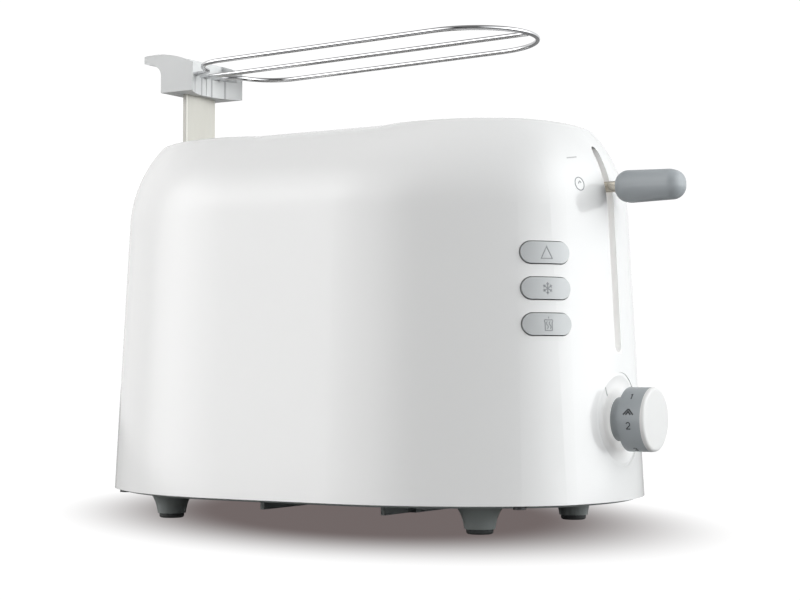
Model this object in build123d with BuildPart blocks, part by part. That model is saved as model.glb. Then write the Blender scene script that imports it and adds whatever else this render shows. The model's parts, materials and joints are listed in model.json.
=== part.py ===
from build123d import *
import os
from math import acos, asin, cos, degrees, radians, sin, tan

# A two-slot pop-up toaster in millimetres. +X runs along the body towards the lever end, +Y goes
# to the back and +Z up. The origin is on the counter, under the middle of the body.

# Body
body_length = 287.4
body_depth = 184.0
body_foot = 14.5  # height of the shell's lower edge
body_top = 195.4
draft = 2.96  # degrees that the walls lean in
crown_start = 153.5  # height where the wall begins to round over
crown_face = 43.0  # radius of the rounding beside the long faces
crown_corner = 63.5  # radius of the rounding at the corners and the ends
crown_steps = 8  # sections over the crown
crown_blend = 42.0  # degrees of bearing over which one becomes the other
crown_rim = 4.0  # rounding where the crown meets the flat top
wall = 2.5
front_radius = 134.0  # long arc beside the straight front
front_sweep = 40.0
corner_radius = 59.0
corner_sweep = 28.0

# Base
base_bottom = 13.3
base_floor = 2.5
base_rim = 5.2
base_gap = 1.0  # between the shell's wall and the base, at the lower edge
foot_x = 91.6
foot_y = 49.4
foot_top_radius = 12.2
foot_tip_radius = 7.2
pad_radius = 6.4
pad_height = 2.4
pad_peg_radius = 3.0
pad_peg_length = 4.0
cleat_x = 36.0
cleat_length = 92.0
cleat_thickness = 2.4
cleat_bottom = 6.0
cleat_lip = 5.0
vent_count = 7
vent_pitch = 9.0
vent_width = 3.0
vent_length = 26.0
vent_x = 64.0
screw_radius = 1.5
screw_head_radius = 3.0
screw_head_height = 1.8
screw_length = 14.0
boss_radius = 4.2
boss_height = 26.0
boss_bearing = 50.0  # degrees from +X
boss_gap = 0.3

# Bread slots and the toasting chamber
slot_x = -10.0
slot_length = 146.0
slot_width = 34.0
slot_pitch = 52.0
slot_corner = 3.9
slot_rim = 1.2  # rounding of the slots' upper edges
chamber_margin = 5.0  # from a slot's end to the end plate
sheet = 0.8
chamber_half_depth = 52.0
chassis_drop = 11.0  # from the shell's top to the chassis's top
reflector_lift = 4.0  # above the tray's opening
reflector_lip = 5.0
reflector_rib = 2.4
liner_gap = 0.4
liner_drop = 1.0  # from the shell's top to the collars' edge
liner_flange = 2.0
card_offset = 48.0
card_bottom = 38.0
card_top = 178.0
card_margin = 6.0
card_thickness = 0.8
card_tab = 12.0
card_tab_reach = 1.6
ribbon_count = 9
ribbon_height = 1.5
ribbon_thickness = 0.3
guard_offset = 13.5  # from a slot's middle to its guard wires
guard_wire = 0.8
guard_count = 7
guard_bottom = 34.0
guard_drop = 4.0  # from the chassis's top

# Crumb tray
tray_half_width = 43.0
tray_bottom = 17.3
tray_height = 6.5
tray_sheet = 0.8
tray_gap = 0.5
tray_front_thickness = 3.3
tray_lip_reach = 4.0
tray_lip_thickness = 2.3
tray_lip_half = 15.0
rail_lead = 5.0  # of the guides past the left end plate

# Carriage, lever and lifters
rod_offset = 27.2  # from the right end plate
rod_radius = 2.5
rod_over = 1.6  # what shows of the rod past its bracket
running_gap = 0.06
bracket_sheet = 1.2
bracket_half_width = 11.0
bracket_bottom = 24.0
bracket_drop = 1.0  # from the chassis's top
sleeve_radius = 5.0
sleeve_length = 30.0
carriage_sheet = 1.2
carriage_half_width = 36.0
carriage_bottom = 104.0
carriage_over = 0.5  # of the carriage's plate above the lever's bar
lever_drop = 75.0
lever_lift = 15.5
lever_height = 164.4
lever_bar_height = 5.2
lever_bar_width = 3.2
lever_slot_width = 7.0
lever_slot_gap = 2.0
lever_slot_depth = 9.0  # of the walls round the slot
lever_slot_reach = 33.0  # of the slot's cut, in from the end
handle_tip = 174.0
handle_taper = 1.5  # degrees
handle_gap = 0.35  # from the grip to the body when the lever is down
handle_height = 15.7
handle_width = 18.0
handle_corner = 7.2
handle_end_round = 6.4
handle_socket = 14.0
web_height = 8.0
web_thickness = 1.2
shelf_half_width = 10.0
shelf_thickness = 1.0
shelf_finger = 8.0
spring_radius = 4.4
spring_wire = 0.5
spring_turns = 12
keeper_margin = 3.4  # from the keeper to the sleeve
keeper_y = 20.0
keeper_width = 15.0
keeper_reach = 14.0

# Controls
board_x = 118.0
board_thickness = 1.6
board_half_width = 28.0
board_bottom = 20.0
board_height = 58.0
part_side = 11.0  # from the board's middle line to its parts
part_low = 6.0  # from the board's lower edge to its parts
relay_depth = 9.0
relay_width = 13.0
relay_height = 12.0
capacitor_radius = 4.0
capacitor_length = 8.0
chip_depth = 2.0
chip_width = 12.0
chip_height = 8.0
magnet_width = 12.0
magnet_depth = 9.0
magnet_height = 22.0
magnet_gap = 0.3
magnet_stand = 12.3  # from the base's floor to the magnet
coil_radius = 4.4
knob_height = 53.0  # of the knob's axis
dish_radius = 22.4
dish_step = 0.35
dish_depth = 3.4
dish_curve = 73.0  # radius of the hollow's floor, up and down
dish_sweep = 270.0  # radius of the hollow's floor, across
dish_turn = 12.0  # degrees of that sweep to each side
dish_lip = 0.7  # width of the step round the hollow
knob_radius = 15.3
knob_back = 146.1
skirt_length = 11.4
cap_length = 1.9
cap_round = 1.6
shaft_radius = 3.0
hub_wall = 7.5
bushing_radius = 3.6
pot_body = 16.0
pot_depth = 7.5
button_bearing = -35.4  # degrees from +X
button_height = 114.0  # of the middle button
button_pitch = 16.6
button_length = 25.2
button_width = 10.0
button_gap = 0.45
button_proud = 0.9
button_depth = 8.0
button_travel = 1.5
stem_radius = 2.5
stem_length = 4.0
switch_size = 6.0
switch_height = 3.5
plunger_radius = 1.6
plunger_height = 1.2
button_board_width = 20.0
button_board_height = 66.0
stand_off_radius = 3.2
stand_off_spread = 28.0

# Bun-warming rack
post_x = -113.5
post_width = 26.0
post_thickness = 2.0
post_bottom = 166.0
post_ear = 2.2
post_ear_height = 9.6
head_bottom = 228.0
head_half_width = 22.4
head_back = -122.6
head_front = -100.4
head_shelf = 237.6
head_floor = 1.6  # between the shelf and the post's end
head_height = 21.0
nose_height = 15.0
root_height = 9.0
hook_reach = 12.0
hook_thickness = 4.0
head_concave = 35.0
head_concave_depth = 108.6
cheek = 2.6
rack_travel = 42.0
rack_rise = 1.2  # degrees that the wires climb towards the lever end
wire_radius = 1.25
wire_gap = 0.03
wire_height = 238.9
wire_start = -119.0
wire_bend_start = -105.0
wire_spread = 10.5
loop_half_width = 34.8
loop_tip = 94.3
loop_inner_bend = 11.0
loop_outer_bend = 22.0
rack_slot_gap = 0.4
guide_wall = 3.0
guide_bottom = 118.0
guide_shoulder = 176.0

# Mains inlet
gland_x = 26.0
gland_z = 31.0
gland_bore = 3.7
gland_radius = 6.4
gland_flange = 8.6
gland_flange_thickness = 2.0
gland_length = 14.0

# Worked out from the sizes above
half_length = body_length / 2
half_depth = body_depth / 2
lean = tan(radians(draft))
side_sweep = front_sweep + corner_sweep
corner_y = half_depth - front_radius + (front_radius - corner_radius) * cos(radians(front_sweep))
end_radius = corner_radius + corner_y / cos(radians(side_sweep))
end_centre = (half_length - end_radius, 0)
corner_x = end_centre[0] + (end_radius - corner_radius) * sin(radians(side_sweep))
corner_centre = (corner_x, corner_y)
front_x = corner_x - (front_radius - corner_radius) * sin(radians(front_sweep))
front_centre = (front_x, half_depth - front_radius)
base_top = base_bottom + base_floor
chassis_top = body_top - chassis_drop
guard_top = chassis_top - guard_drop
bracket_top = chassis_top - bracket_drop
rod_bottom = bracket_bottom - rod_over
rod_top = bracket_top + rod_over
liner_height = chassis_drop - liner_drop
keeper_height = base_top + magnet_stand + magnet_height + magnet_gap + lever_drop
sleeve_bottom = keeper_height + carriage_sheet + keeper_margin
sleeve_top = sleeve_bottom + sleeve_length
carriage_top = lever_height + lever_bar_height / 2 + carriage_over
base_inset = wall + base_gap
chamber_left = slot_x - slot_length / 2 - chamber_margin
chamber_right = slot_x + slot_length / 2 + chamber_margin
slot_ys = (-slot_pitch / 2, slot_pitch / 2)
slot_left = slot_x - slot_length / 2
slot_right = slot_x + slot_length / 2
rod_x = chamber_right + sheet + rod_offset
carriage_x = rod_x + sleeve_radius
tray_start = -half_length + wall + 1.0
tray_end = chamber_right - 4.0
post_back = post_x - post_thickness / 2
post_front = post_x + post_thickness / 2


def end_x(z):
    """The X of the body's end at a height, on its middle line."""
    return half_length - lean * (z - body_foot)


def plan_outline(inset):
    """Draws the body's plan, drawn in by inset, in the sketch that is open."""
    with BuildLine() as edge:
        CenterArc(end_centre, end_radius - inset, 0, 90 - side_sweep)
        CenterArc(corner_centre, corner_radius - inset, 90 - side_sweep, corner_sweep)
        CenterArc(front_centre, front_radius - inset, 90 - front_sweep, front_sweep)
        Line((front_x, half_depth - inset), (0, half_depth - inset))
        mirror(about=Plane.XZ)
        mirror(about=Plane.YZ)
    make_face(edge.edges())


def wall_inset(bearing, z, inset):
    """How far a wall that is drawn in by inset stands in from the plan's outline, at a height."""
    share = min(bearing / crown_blend, 1)
    radius = crown_face + (crown_corner - crown_face) * share**2 * (3 - 2 * share) - inset
    rise = max(z - crown_start, 0)
    return inset + lean * (z - body_foot) + radius - (radius**2 - rise**2) ** 0.5


def plan_point(bearing, away):
    """A point of the plan's outline by its normal's bearing from the front, drawn in by away."""
    if bearing <= front_sweep:
        centre, radius = front_centre, front_radius - away
    elif bearing <= side_sweep:
        centre, radius = corner_centre, corner_radius - away
    else:
        centre, radius = end_centre, end_radius - away
    return (centre[0] + radius * sin(radians(bearing)), centre[1] + radius * cos(radians(bearing)))


def plan_run(start, end, count, z, inset):
    """Draws one arc of the body's plan at a height of the crown, between two bearings."""
    bearings = [start + (end - start) * step / count for step in range(count + 1)]
    points = [plan_point(bearing, wall_inset(bearing, z, inset)) for bearing in bearings]
    tangents = []
    for bearing in (start, end):
        ahead = plan_point(min(bearing + 0.01, end), wall_inset(min(bearing + 0.01, end), z, inset))
        behind = plan_point(max(bearing - 0.01, start), wall_inset(max(bearing - 0.01, start), z, inset))
        tangents.append((ahead[0] - behind[0], ahead[1] - behind[1]))
    Spline(*points, tangents=tangents)


def crown_outline(z, inset):
    """Draws the crown's outline at a height, in the sketch that is open."""
    away = wall_inset(0, z, inset)
    with BuildLine() as edge:
        Line((0, half_depth - away), (front_x, half_depth - away))
        plan_run(0, front_sweep, 6, z, inset)
        plan_run(front_sweep, side_sweep, 5, z, inset)
        plan_run(side_sweep, 90, 4, z, inset)
        mirror(about=Plane.XZ)
        mirror(about=Plane.YZ)
    make_face(edge.edges())


def body_form(inset, bottom, top):
    """Adds the body's leaning form with its rounded crown, drawn in by inset."""
    with BuildSketch(Plane.XY.offset(bottom)) as plan:
        plan_outline(inset + lean * (bottom - body_foot))
    extrude(plan.sketch, amount=crown_start - bottom, taper=draft)
    with BuildSketch(Plane.XY.offset(crown_start)) as plan:
        plan_outline(inset + lean * (crown_start - body_foot))
    sections = [plan.sketch.face()]
    sweep_angle = asin((top - crown_start) / (crown_face - inset))
    for step in range(1, crown_steps + 1):
        z = crown_start + (crown_face - inset) * sin(sweep_angle * step / crown_steps)
        with BuildSketch(Plane.XY.offset(z)) as plan:
            crown_outline(z, inset)
        sections.append(plan.sketch.face())
    loft(sections)


def block(x0, x1, y0, y1, z0, z1, mode=Mode.ADD):
    """A box between two corners, in the part that is open."""
    with Locations(((x0 + x1) / 2, (y0 + y1) / 2, (z0 + z1) / 2)):
        Box(x1 - x0, y1 - y0, z1 - z0, mode=mode)


def bar(start, end, radius, mode=Mode.ADD):
    """A round bar between two points, in the part that is open."""
    run = Vector(*end) - Vector(*start)
    with BuildSketch(Plane(origin=start, z_dir=run)) as section:
        Circle(radius)
    extrude(section.sketch, amount=run.length, mode=mode)


def finish(piece, name):
    """Labels a finished piece and writes it to its own file."""
    piece.part.label = name
    export_step(piece.part, f"parts/{name}.step")


handle_start = end_x(lever_height - lever_drop - handle_height / 2 + handle_corner - 1) + handle_gap

os.makedirs("parts", exist_ok=True)

# ---------------------------------------------------------------- outer shell
pocket_left = head_back - 1.4
pocket_right = head_front + 2.6
pocket_half = head_half_width + 1.4
pocket_floor = head_bottom - rack_travel - 0.6
rack_slot_half = post_width / 2 + rack_slot_gap
rack_slot_x = post_thickness / 2 + rack_slot_gap
dish_x = end_x(knob_height)
backing_x = dish_x - dish_depth - wall
boss_reach = corner_radius - wall - boss_radius * 0.6
boss_x = corner_x + boss_reach * cos(radians(boss_bearing))
boss_y = corner_y + boss_reach * sin(radians(boss_bearing))
boss_points = [(sx * boss_x, sy * boss_y) for sx in (-1, 1) for sy in (-1, 1)]
lever_slot_bottom = lever_height - lever_bar_height / 2 - lever_drop - lever_slot_gap
lever_slot_top = lever_height + lever_bar_height / 2 + lever_lift + lever_slot_gap
tray_hole_bottom = tray_bottom - tray_gap
tray_hole_top = tray_bottom + tray_height + tray_gap + 0.8
tray_hole_half = tray_half_width + 1.5
peg_y = rack_slot_half + guide_wall + 4.0
peg_radius = 1.5
peg_length = 4.0

# The three buttons' planes: each stands on the leaning corner, with its own Z pointing out
bearing = radians(button_bearing)
outward = Vector(cos(bearing) * cos(radians(draft)), sin(bearing) * cos(radians(draft)), sin(radians(draft)))
along = Vector(-sin(bearing), cos(bearing), 0)


def button_plane(z):
    """The plane that touches the body's corner at a height, on the buttons' bearing."""
    reach = corner_radius - lean * (z - body_foot)
    middle = (corner_x + reach * cos(bearing), -corner_y + reach * sin(bearing), z)
    return Plane(origin=middle, x_dir=along, z_dir=outward)


button_heights = [button_height + step * button_pitch * cos(radians(draft)) for step in (1, 0, -1)]
button_planes = [button_plane(z) for z in button_heights]
panel = button_planes[1]
board_depth = button_depth + stem_length + button_travel + plunger_height + switch_height + 0.2

with BuildPart() as outside:
    body_form(0, body_foot, body_top)
    fillet(edges().group_by(Axis.Z)[-1], crown_rim)

with BuildPart() as inside:
    body_form(wall, body_foot, body_top - wall)

with BuildPart() as backing:  # walls behind the dish, the lever's slot and the rack's pocket, and bosses
    bar((backing_x - 1, 0, knob_height), (half_length, 0, knob_height), dish_radius + wall)
    block(pocket_left - wall, pocket_right + wall, -pocket_half - wall, pocket_half + wall,
          pocket_floor - wall, body_top)
    block(half_length - lever_slot_depth - lean * (lever_slot_top - body_foot), half_length,
          -lever_slot_width / 2 - wall, lever_slot_width / 2 + wall,
          lever_slot_bottom - wall, lever_slot_top + wall)
    for x, y in boss_points:
        bar((x, y, base_top + 0.2), (x, y, base_top + boss_height), boss_radius)
    for step in (-1, 1):
        with BuildSketch(panel.offset(-board_depth)):
            with Locations((0, step * stand_off_spread)):
                Circle(stand_off_radius)
        extrude(amount=board_depth)
    add(outside.part, mode=Mode.INTERSECT)

with BuildPart() as stepped:
    body_form(dish_step, body_foot, body_top - dish_step)

with BuildPart() as dish:  # a shallow step that follows the wall, and a round hollow inside it
    bar((dish_x - dish_depth - 2, 0, knob_height), (half_length, 0, knob_height), dish_radius)
    add(stepped.part, mode=Mode.SUBTRACT)

with BuildPart() as hollow:  # its floor is swept round an upright axis, so its rim lies on the wall
    reach = dish_curve - dish_depth
    with BuildSketch(Plane.XZ) as floor_line:
        with Locations((dish_x + reach * cos(radians(draft)), knob_height + reach * sin(radians(draft)))):
            Circle(dish_curve)
        with Locations((dish_x, knob_height)):
            Rectangle(4 * dish_depth, 4 * dish_radius, mode=Mode.INTERSECT)
    turning = Axis((dish_x - dish_depth + dish_sweep, 0, 0), (0, 0, 1))
    revolve(floor_line.sketch, axis=turning, revolution_arc=dish_turn)
    revolve(floor_line.sketch, axis=turning, revolution_arc=-dish_turn)
    bar((dish_x - 3 * dish_depth, 0, knob_height), (dish_x + 3 * dish_depth, 0, knob_height),
        dish_radius - dish_lip, mode=Mode.INTERSECT)

with BuildPart() as outer_shell:
    add(outside.part)
    add(inside.part, mode=Mode.SUBTRACT)
    add(backing.part)
    add(dish.part, mode=Mode.SUBTRACT)
    add(hollow.part, mode=Mode.SUBTRACT)
    bar((backing_x - 4, 0, knob_height), (half_length, 0, knob_height), bushing_radius + 0.2,
        mode=Mode.SUBTRACT)
    # bread slots, with rounded rims
    with BuildSketch(Plane.XY.offset(body_top)):
        with Locations((slot_x, slot_ys[0]), (slot_x, slot_ys[1])):
            RectangleRounded(slot_length, slot_width, slot_corner)
    extrude(amount=-wall - 1, mode=Mode.SUBTRACT)
    rims = edges().filter_by_position(Axis.Z, body_top - 0.01, body_top + 0.01)
    rims = rims.filter_by_position(Axis.X, slot_left - 1, slot_right + 1)
    fillet(rims, slot_rim)
    # pocket that the rack's head sinks into, and the slot its post slides in
    block(pocket_left, pocket_right, -pocket_half, pocket_half, pocket_floor, body_top + 1,
          mode=Mode.SUBTRACT)
    block(post_x - rack_slot_x, post_x + rack_slot_x, -rack_slot_half, rack_slot_half,
          pocket_floor - wall - 1, pocket_floor + 1, mode=Mode.SUBTRACT)
    for side in (-1, 1):
        bar((post_x, side * peg_y, pocket_floor - wall),
            (post_x, side * peg_y, pocket_floor - wall - peg_length), peg_radius)
    # slot that the lever rides in
    with BuildSketch(Plane.YZ.offset(half_length - lever_slot_reach)):
        with Locations((0, (lever_slot_bottom + lever_slot_top) / 2)):
            SlotOverall(lever_slot_top - lever_slot_bottom, lever_slot_width, rotation=90)
    extrude(amount=lever_slot_reach + 1, mode=Mode.SUBTRACT)
    # buttons
    for plane in button_planes:
        with BuildSketch(plane.offset(-wall - 4)):
            SlotOverall(button_length + 2 * button_gap, button_width + 2 * button_gap)
        extrude(amount=wall + 8, mode=Mode.SUBTRACT)
    # crumb tray, mains inlet and the base's screws
    block(-half_length - 1, -half_length + 24, -tray_hole_half, tray_hole_half,
          tray_hole_bottom, tray_hole_top, mode=Mode.SUBTRACT)
    bar((gland_x, half_depth - 8, gland_z), (gland_x, half_depth + 4, gland_z), gland_radius + 0.1,
        mode=Mode.SUBTRACT)
    for x, y in boss_points:
        bar((x, y, base_top), (x, y, base_top + screw_length + 2), screw_radius + 0.03, mode=Mode.SUBTRACT)
    for step in (-1, 1):
        with BuildSketch(panel.offset(-board_depth)):
            with Locations((0, step * stand_off_spread)):
                Circle(screw_radius * 0.7)
        extrude(amount=board_depth - wall - 1, mode=Mode.SUBTRACT)

# The moulding is kept as solids that meet face to face, cut along the bread slots' edges: the front
# and the rear with their slots' outer corners, the bridge between the slots, and the two ends.
slot_inner = slot_pitch / 2 - slot_width / 2
slot_outer = slot_pitch / 2 + slot_width / 2
corners_x = ((slot_left, slot_left + slot_corner), (slot_right - slot_corner, slot_right))


def shell_region(side):
    """Adds the region of the front (-1), the rear (1), or the bridge (0), out to the slots' corners."""
    if side == 0:
        block(slot_left, slot_right, -slot_inner, slot_inner, crown_start, body_top + 1)
        near, far = slot_inner, slot_inner + slot_corner
        sides = (-1, 1)
    else:
        edge = sorted((side * slot_outer, side * (half_depth + 1)))
        block(-half_length - 1, half_length + 1, edge[0], edge[1], 0, body_top + 1)
        near, far = slot_outer - slot_corner, slot_outer
        sides = (side,)
    for corner_side in sides:
        low, high = sorted((corner_side * near, corner_side * far))
        for start, end in corners_x:
            block(start, end, low, high, crown_start, body_top + 1)


with BuildPart() as front_region:
    shell_region(-1)
with BuildPart() as rear_region:
    shell_region(1)
with BuildPart() as bridge_region:
    shell_region(0)
with BuildPart() as left_region:
    block(-half_length - 1, slot_left, -slot_outer, slot_outer, 0, body_top + 1)
with BuildPart() as right_region:
    block(slot_right, half_length + 1, -slot_outer, slot_outer, 0, body_top + 1)

shell_regions = {"shell_front": front_region, "shell_rear": rear_region, "shell_bridge": bridge_region,
                 "shell_left": left_region, "shell_right": right_region}
for name, region in shell_regions.items():
    with BuildPart() as shell_part:
        add(outer_shell.part)
        add(region.part, mode=Mode.INTERSECT)
    finish(shell_part, name)

# ---------------------------------------------------------------- base, feet and screws
cleat_near = cleat_length / 2
tab_half = 3.0
tab_y = chamber_half_depth - 4.0
tab_gap = 0.2
end_plates_x = (chamber_left - sheet, chamber_right)
rail_half = tray_half_width + tray_gap
rail_width = 2.0
board_rib = 3.0
board_rib_height = 9.0

with BuildPart() as foot:
    with BuildSketch(Plane.XZ) as flare:
        with BuildLine() as side:
            Line((0, pad_height), (foot_tip_radius, pad_height))
            Line((foot_tip_radius, pad_height), (foot_tip_radius + 0.6, pad_height + 3.0))
            RadiusArc((foot_tip_radius + 0.6, pad_height + 3.0), (foot_top_radius, base_bottom + 0.5), 16)
            Line((foot_top_radius, base_bottom + 0.5), (0, base_bottom + 0.5))
            Line((0, base_bottom + 0.5), (0, pad_height))
        make_face(side.edges())
    revolve(axis=Axis.Z)

with BuildPart() as base_plate:
    with BuildSketch(Plane.XY.offset(base_bottom)):
        plan_outline(base_inset)
    extrude(amount=base_floor)
    with BuildSketch(Plane.XY.offset(base_top)):
        plan_outline(base_inset)
        with BuildSketch(mode=Mode.SUBTRACT):
            plan_outline(base_inset + 2)
    extrude(amount=base_rim)
    fillet(edges().group_by(Axis.Z)[0], 0.8)
    with GridLocations(2 * foot_x, 2 * foot_y, 2, 2):
        add(foot.part)
        with Locations((0, 0, pad_height)):
            Cylinder(pad_peg_radius + 0.05, pad_peg_length + 0.2,
                     align=(Align.CENTER, Align.CENTER, Align.MIN), mode=Mode.SUBTRACT)
    # cord cleats: two fins with a lip at the middle
    for side in (-1, 1):
        block(side * cleat_x - cleat_thickness / 2, side * cleat_x + cleat_thickness / 2,
              -cleat_near, cleat_near, cleat_bottom, base_bottom + 0.5)
        lip = side * (cleat_x + cleat_lip / 2)
        block(lip - cleat_lip / 2, lip + cleat_lip / 2, -cleat_near / 2, cleat_near / 2,
              cleat_bottom, cleat_bottom + cleat_thickness)
    # vents between the cleats and the feet
    with Locations((-vent_x, 0, base_bottom), (vent_x, 0, base_bottom), (0, 0, base_bottom)):
        with GridLocations(0, vent_pitch, 1, vent_count):
            Box(vent_length, vent_width, 3 * base_floor, mode=Mode.SUBTRACT)
    block(-half_length, chamber_left, -tray_hole_half, tray_hole_half, base_top, base_top + base_rim + 1,
          mode=Mode.SUBTRACT)
    # rails that the crumb tray runs on, and guides at its sides
    for side in (-1, 1):
        y = side * (rail_half + rail_width / 2)
        block(chamber_left - rail_lead, chamber_right, y - rail_width / 2, y + rail_width / 2,
              base_top, tray_bottom + tray_height / 2)
        y = side * (tray_half_width - 8)
        block(chamber_left - 8 * rail_lead, tray_end, y - rail_width / 2, y + rail_width / 2,
              base_top, tray_bottom - 0.1)
    # ribs that hold the control board
    for side in (-1, 1):
        block(board_x - board_rib, board_x + board_thickness + board_rib,
              side * board_half_width - board_rib, side * board_half_width + board_rib,
              base_top, base_top + board_rib_height)
    block(board_x - 0.05, board_x + board_thickness + 0.05, -board_half_width - 0.1, board_half_width + 0.1,
          board_bottom - 0.1, board_bottom + board_height, mode=Mode.SUBTRACT)
    # slots for the end plates' tabs
    for x in end_plates_x:
        for side in (-1, 1):
            block(x - tab_gap, x + sheet + tab_gap,
                  side * tab_y - tab_half - tab_gap, side * tab_y + tab_half + tab_gap,
                  base_bottom - 1, base_top + 1, mode=Mode.SUBTRACT)
    # counterbored holes for the screws into the shell's bosses
    for x, y in boss_points:
        bar((x, y, base_top), (x, y, base_top + base_rim + 1), boss_radius + boss_gap, mode=Mode.SUBTRACT)
        bar((x, y, base_bottom - 1), (x, y, base_top + 1), screw_radius + 0.2, mode=Mode.SUBTRACT)
        bar((x, y, base_bottom - 1), (x, y, base_bottom + 1.2), screw_head_radius + 0.4, mode=Mode.SUBTRACT)
finish(base_plate, "base_plate")

with BuildPart() as foot_pads:
    with GridLocations(2 * foot_x, 2 * foot_y, 2, 2):
        Cylinder(pad_radius, pad_height, align=(Align.CENTER, Align.CENTER, Align.MIN))
    fillet(edges().group_by(Axis.Z)[0], 1.2)
    with GridLocations(2 * foot_x, 2 * foot_y, 2, 2):
        with Locations((0, 0, pad_height)):
            Cylinder(pad_peg_radius, pad_peg_length, align=(Align.CENTER, Align.CENTER, Align.MIN))
finish(foot_pads, "foot_pads")

with BuildPart() as base_screws:
    for x, y in boss_points:
        bar((x, y, base_bottom + 1.2 - screw_head_height), (x, y, base_bottom + 1.2), screw_head_radius)
        bar((x, y, base_bottom + 1.2), (x, y, base_bottom + 1.2 + screw_length), screw_radius)
        with Locations((x, y, base_bottom + 1.2 - screw_head_height)):
            Box(3.2, 0.7, 1.2, mode=Mode.SUBTRACT)
            Box(0.7, 3.2, 1.2, mode=Mode.SUBTRACT)
finish(base_screws, "base_screws")

# ---------------------------------------------------------------- crumb tray
with BuildPart() as crumb_tray:  # an open tray whose outer end follows the body
    with BuildSketch(Plane.XY.offset(tray_bottom)) as tray_plan:
        with Locations(((tray_start + tray_end) / 2, 0)):
            Rectangle(tray_end - tray_start, 2 * tray_half_width)
        with BuildSketch(mode=Mode.INTERSECT):
            plan_outline(tray_front_thickness + lean * (tray_hole_top - body_foot) + 0.05)
    extrude(amount=tray_height)
    with BuildSketch(Plane.XY.offset(tray_bottom + tray_sheet)):
        add(tray_plan.sketch)
        offset(amount=-tray_sheet, mode=Mode.REPLACE)
    extrude(amount=tray_height, mode=Mode.SUBTRACT)
finish(crumb_tray, "crumb_tray")

with BuildPart() as behind_front:
    body_form(tray_front_thickness, body_foot, body_top - tray_front_thickness)

with BuildPart() as tray_front:  # fills the opening in the shell's left end, with a finger lip
    block(-half_length, chamber_left, -tray_hole_half + tray_gap, tray_hole_half - tray_gap,
          tray_hole_bottom + 0.3, tray_hole_top - tray_gap)
    add(outside.part, mode=Mode.INTERSECT)
    add(behind_front.part, mode=Mode.SUBTRACT)
    block(-half_length - tray_lip_reach, -half_length + tray_lip_thickness / 2,
          -tray_lip_half, tray_lip_half, tray_hole_bottom + 0.3, tray_hole_bottom + 0.3 + tray_lip_thickness)
finish(tray_front, "tray_front")

# ---------------------------------------------------------------- chassis
reflector_bottom = tray_hole_top + reflector_lift
web_slot_half = web_thickness / 2 + 0.6
web_low = carriage_bottom - lever_drop - 0.7
web_high = carriage_bottom + web_height + lever_lift + shelf_thickness + 0.7
card_ys = (-card_offset, 0, card_offset)
card_left = chamber_left + card_margin
card_right = chamber_right - card_margin
tab_heights = (card_bottom + 24, card_top - 24)
guard_ys = {"front_outer": slot_ys[0] - guard_offset, "front_inner": slot_ys[0] + guard_offset,
            "rear_inner": slot_ys[1] - guard_offset, "rear_outer": slot_ys[1] + guard_offset}


def end_plate(x):
    """A pressed end plate, with slots for the lifters and the heater cards' tabs."""
    block(x, x + sheet, -chamber_half_depth, chamber_half_depth, base_top, chassis_top)
    for side in (-1, 1):
        block(x, x + sheet, side * tab_y - tab_half, side * tab_y + tab_half, base_bottom - 0.6, base_top)
    for y in slot_ys:
        block(x - 1, x + sheet + 1, y - web_slot_half, y + web_slot_half, web_low, web_high,
              mode=Mode.SUBTRACT)
    for y in card_ys:
        for z in tab_heights:
            block(x - 1, x + sheet + 1, y - card_thickness / 2 - 0.1, y + card_thickness / 2 + 0.1,
                  z - card_tab / 2 - 0.1, z + card_tab / 2 + 0.1, mode=Mode.SUBTRACT)
    for y in guard_ys.values():
        for z in (guard_bottom + 6, guard_top - 6):
            bar((x - 1, y, z), (x + sheet + 1, y, z), guard_wire + 0.05, mode=Mode.SUBTRACT)


with BuildPart() as end_plate_left:
    end_plate(end_plates_x[0])
    block(chamber_left - 2, chamber_left + 1, -rail_half - rail_width - 1, rail_half + rail_width + 1,
          base_top - 1, tray_hole_top, mode=Mode.SUBTRACT)
finish(end_plate_left, "end_plate_left")

with BuildPart() as end_plate_right:
    end_plate(end_plates_x[1])
finish(end_plate_right, "end_plate_right")

for name, side in (("reflector_front", -1), ("reflector_rear", 1)):
    with BuildPart() as reflector:  # a bright sheet with returned edges
        inner = side * (chamber_half_depth - sheet)
        outer = side * chamber_half_depth
        low = min(inner, outer)
        high = max(inner, outer)
        block(chamber_left, chamber_right, low, high, reflector_bottom, chassis_top)
        lip = sorted((outer, side * (chamber_half_depth - reflector_lip)))
        block(chamber_left, chamber_right, lip[0], lip[1], chassis_top - sheet, chassis_top)
        for step in range(1, 4):
            z = reflector_bottom + step * (chassis_top - reflector_bottom) / 4
            with Locations(((chamber_left + chamber_right) / 2, outer, z)):
                Box(slot_length - 2 * card_tab, 2 * sheet, reflector_rib)
    finish(reflector, name)

with BuildPart() as slot_liner:  # one pressed plate with a collar up into each bread slot
    outer_x = slot_length / 2 - liner_gap
    outer_y = slot_width / 2 - liner_gap
    block(chamber_left - sheet - liner_flange, chamber_right + sheet + liner_flange,
          -chamber_half_depth - liner_flange, chamber_half_depth + liner_flange,
          chassis_top, chassis_top + sheet)
    with BuildSketch(Plane.XY.offset(chassis_top)):
        with Locations((slot_x, slot_ys[0]), (slot_x, slot_ys[1])):
            RectangleRounded(2 * outer_x, 2 * outer_y, slot_corner - liner_gap)
    extrude(amount=liner_height)
    with BuildSketch(Plane.XY.offset(chassis_top - 1)):
        with Locations((slot_x, slot_ys[0]), (slot_x, slot_ys[1])):
            RectangleRounded(2 * (outer_x - sheet), 2 * (outer_y - sheet), slot_corner - liner_gap - sheet)
    extrude(amount=liner_height + 2, mode=Mode.SUBTRACT)
finish(slot_liner, "slot_liner")

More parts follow.
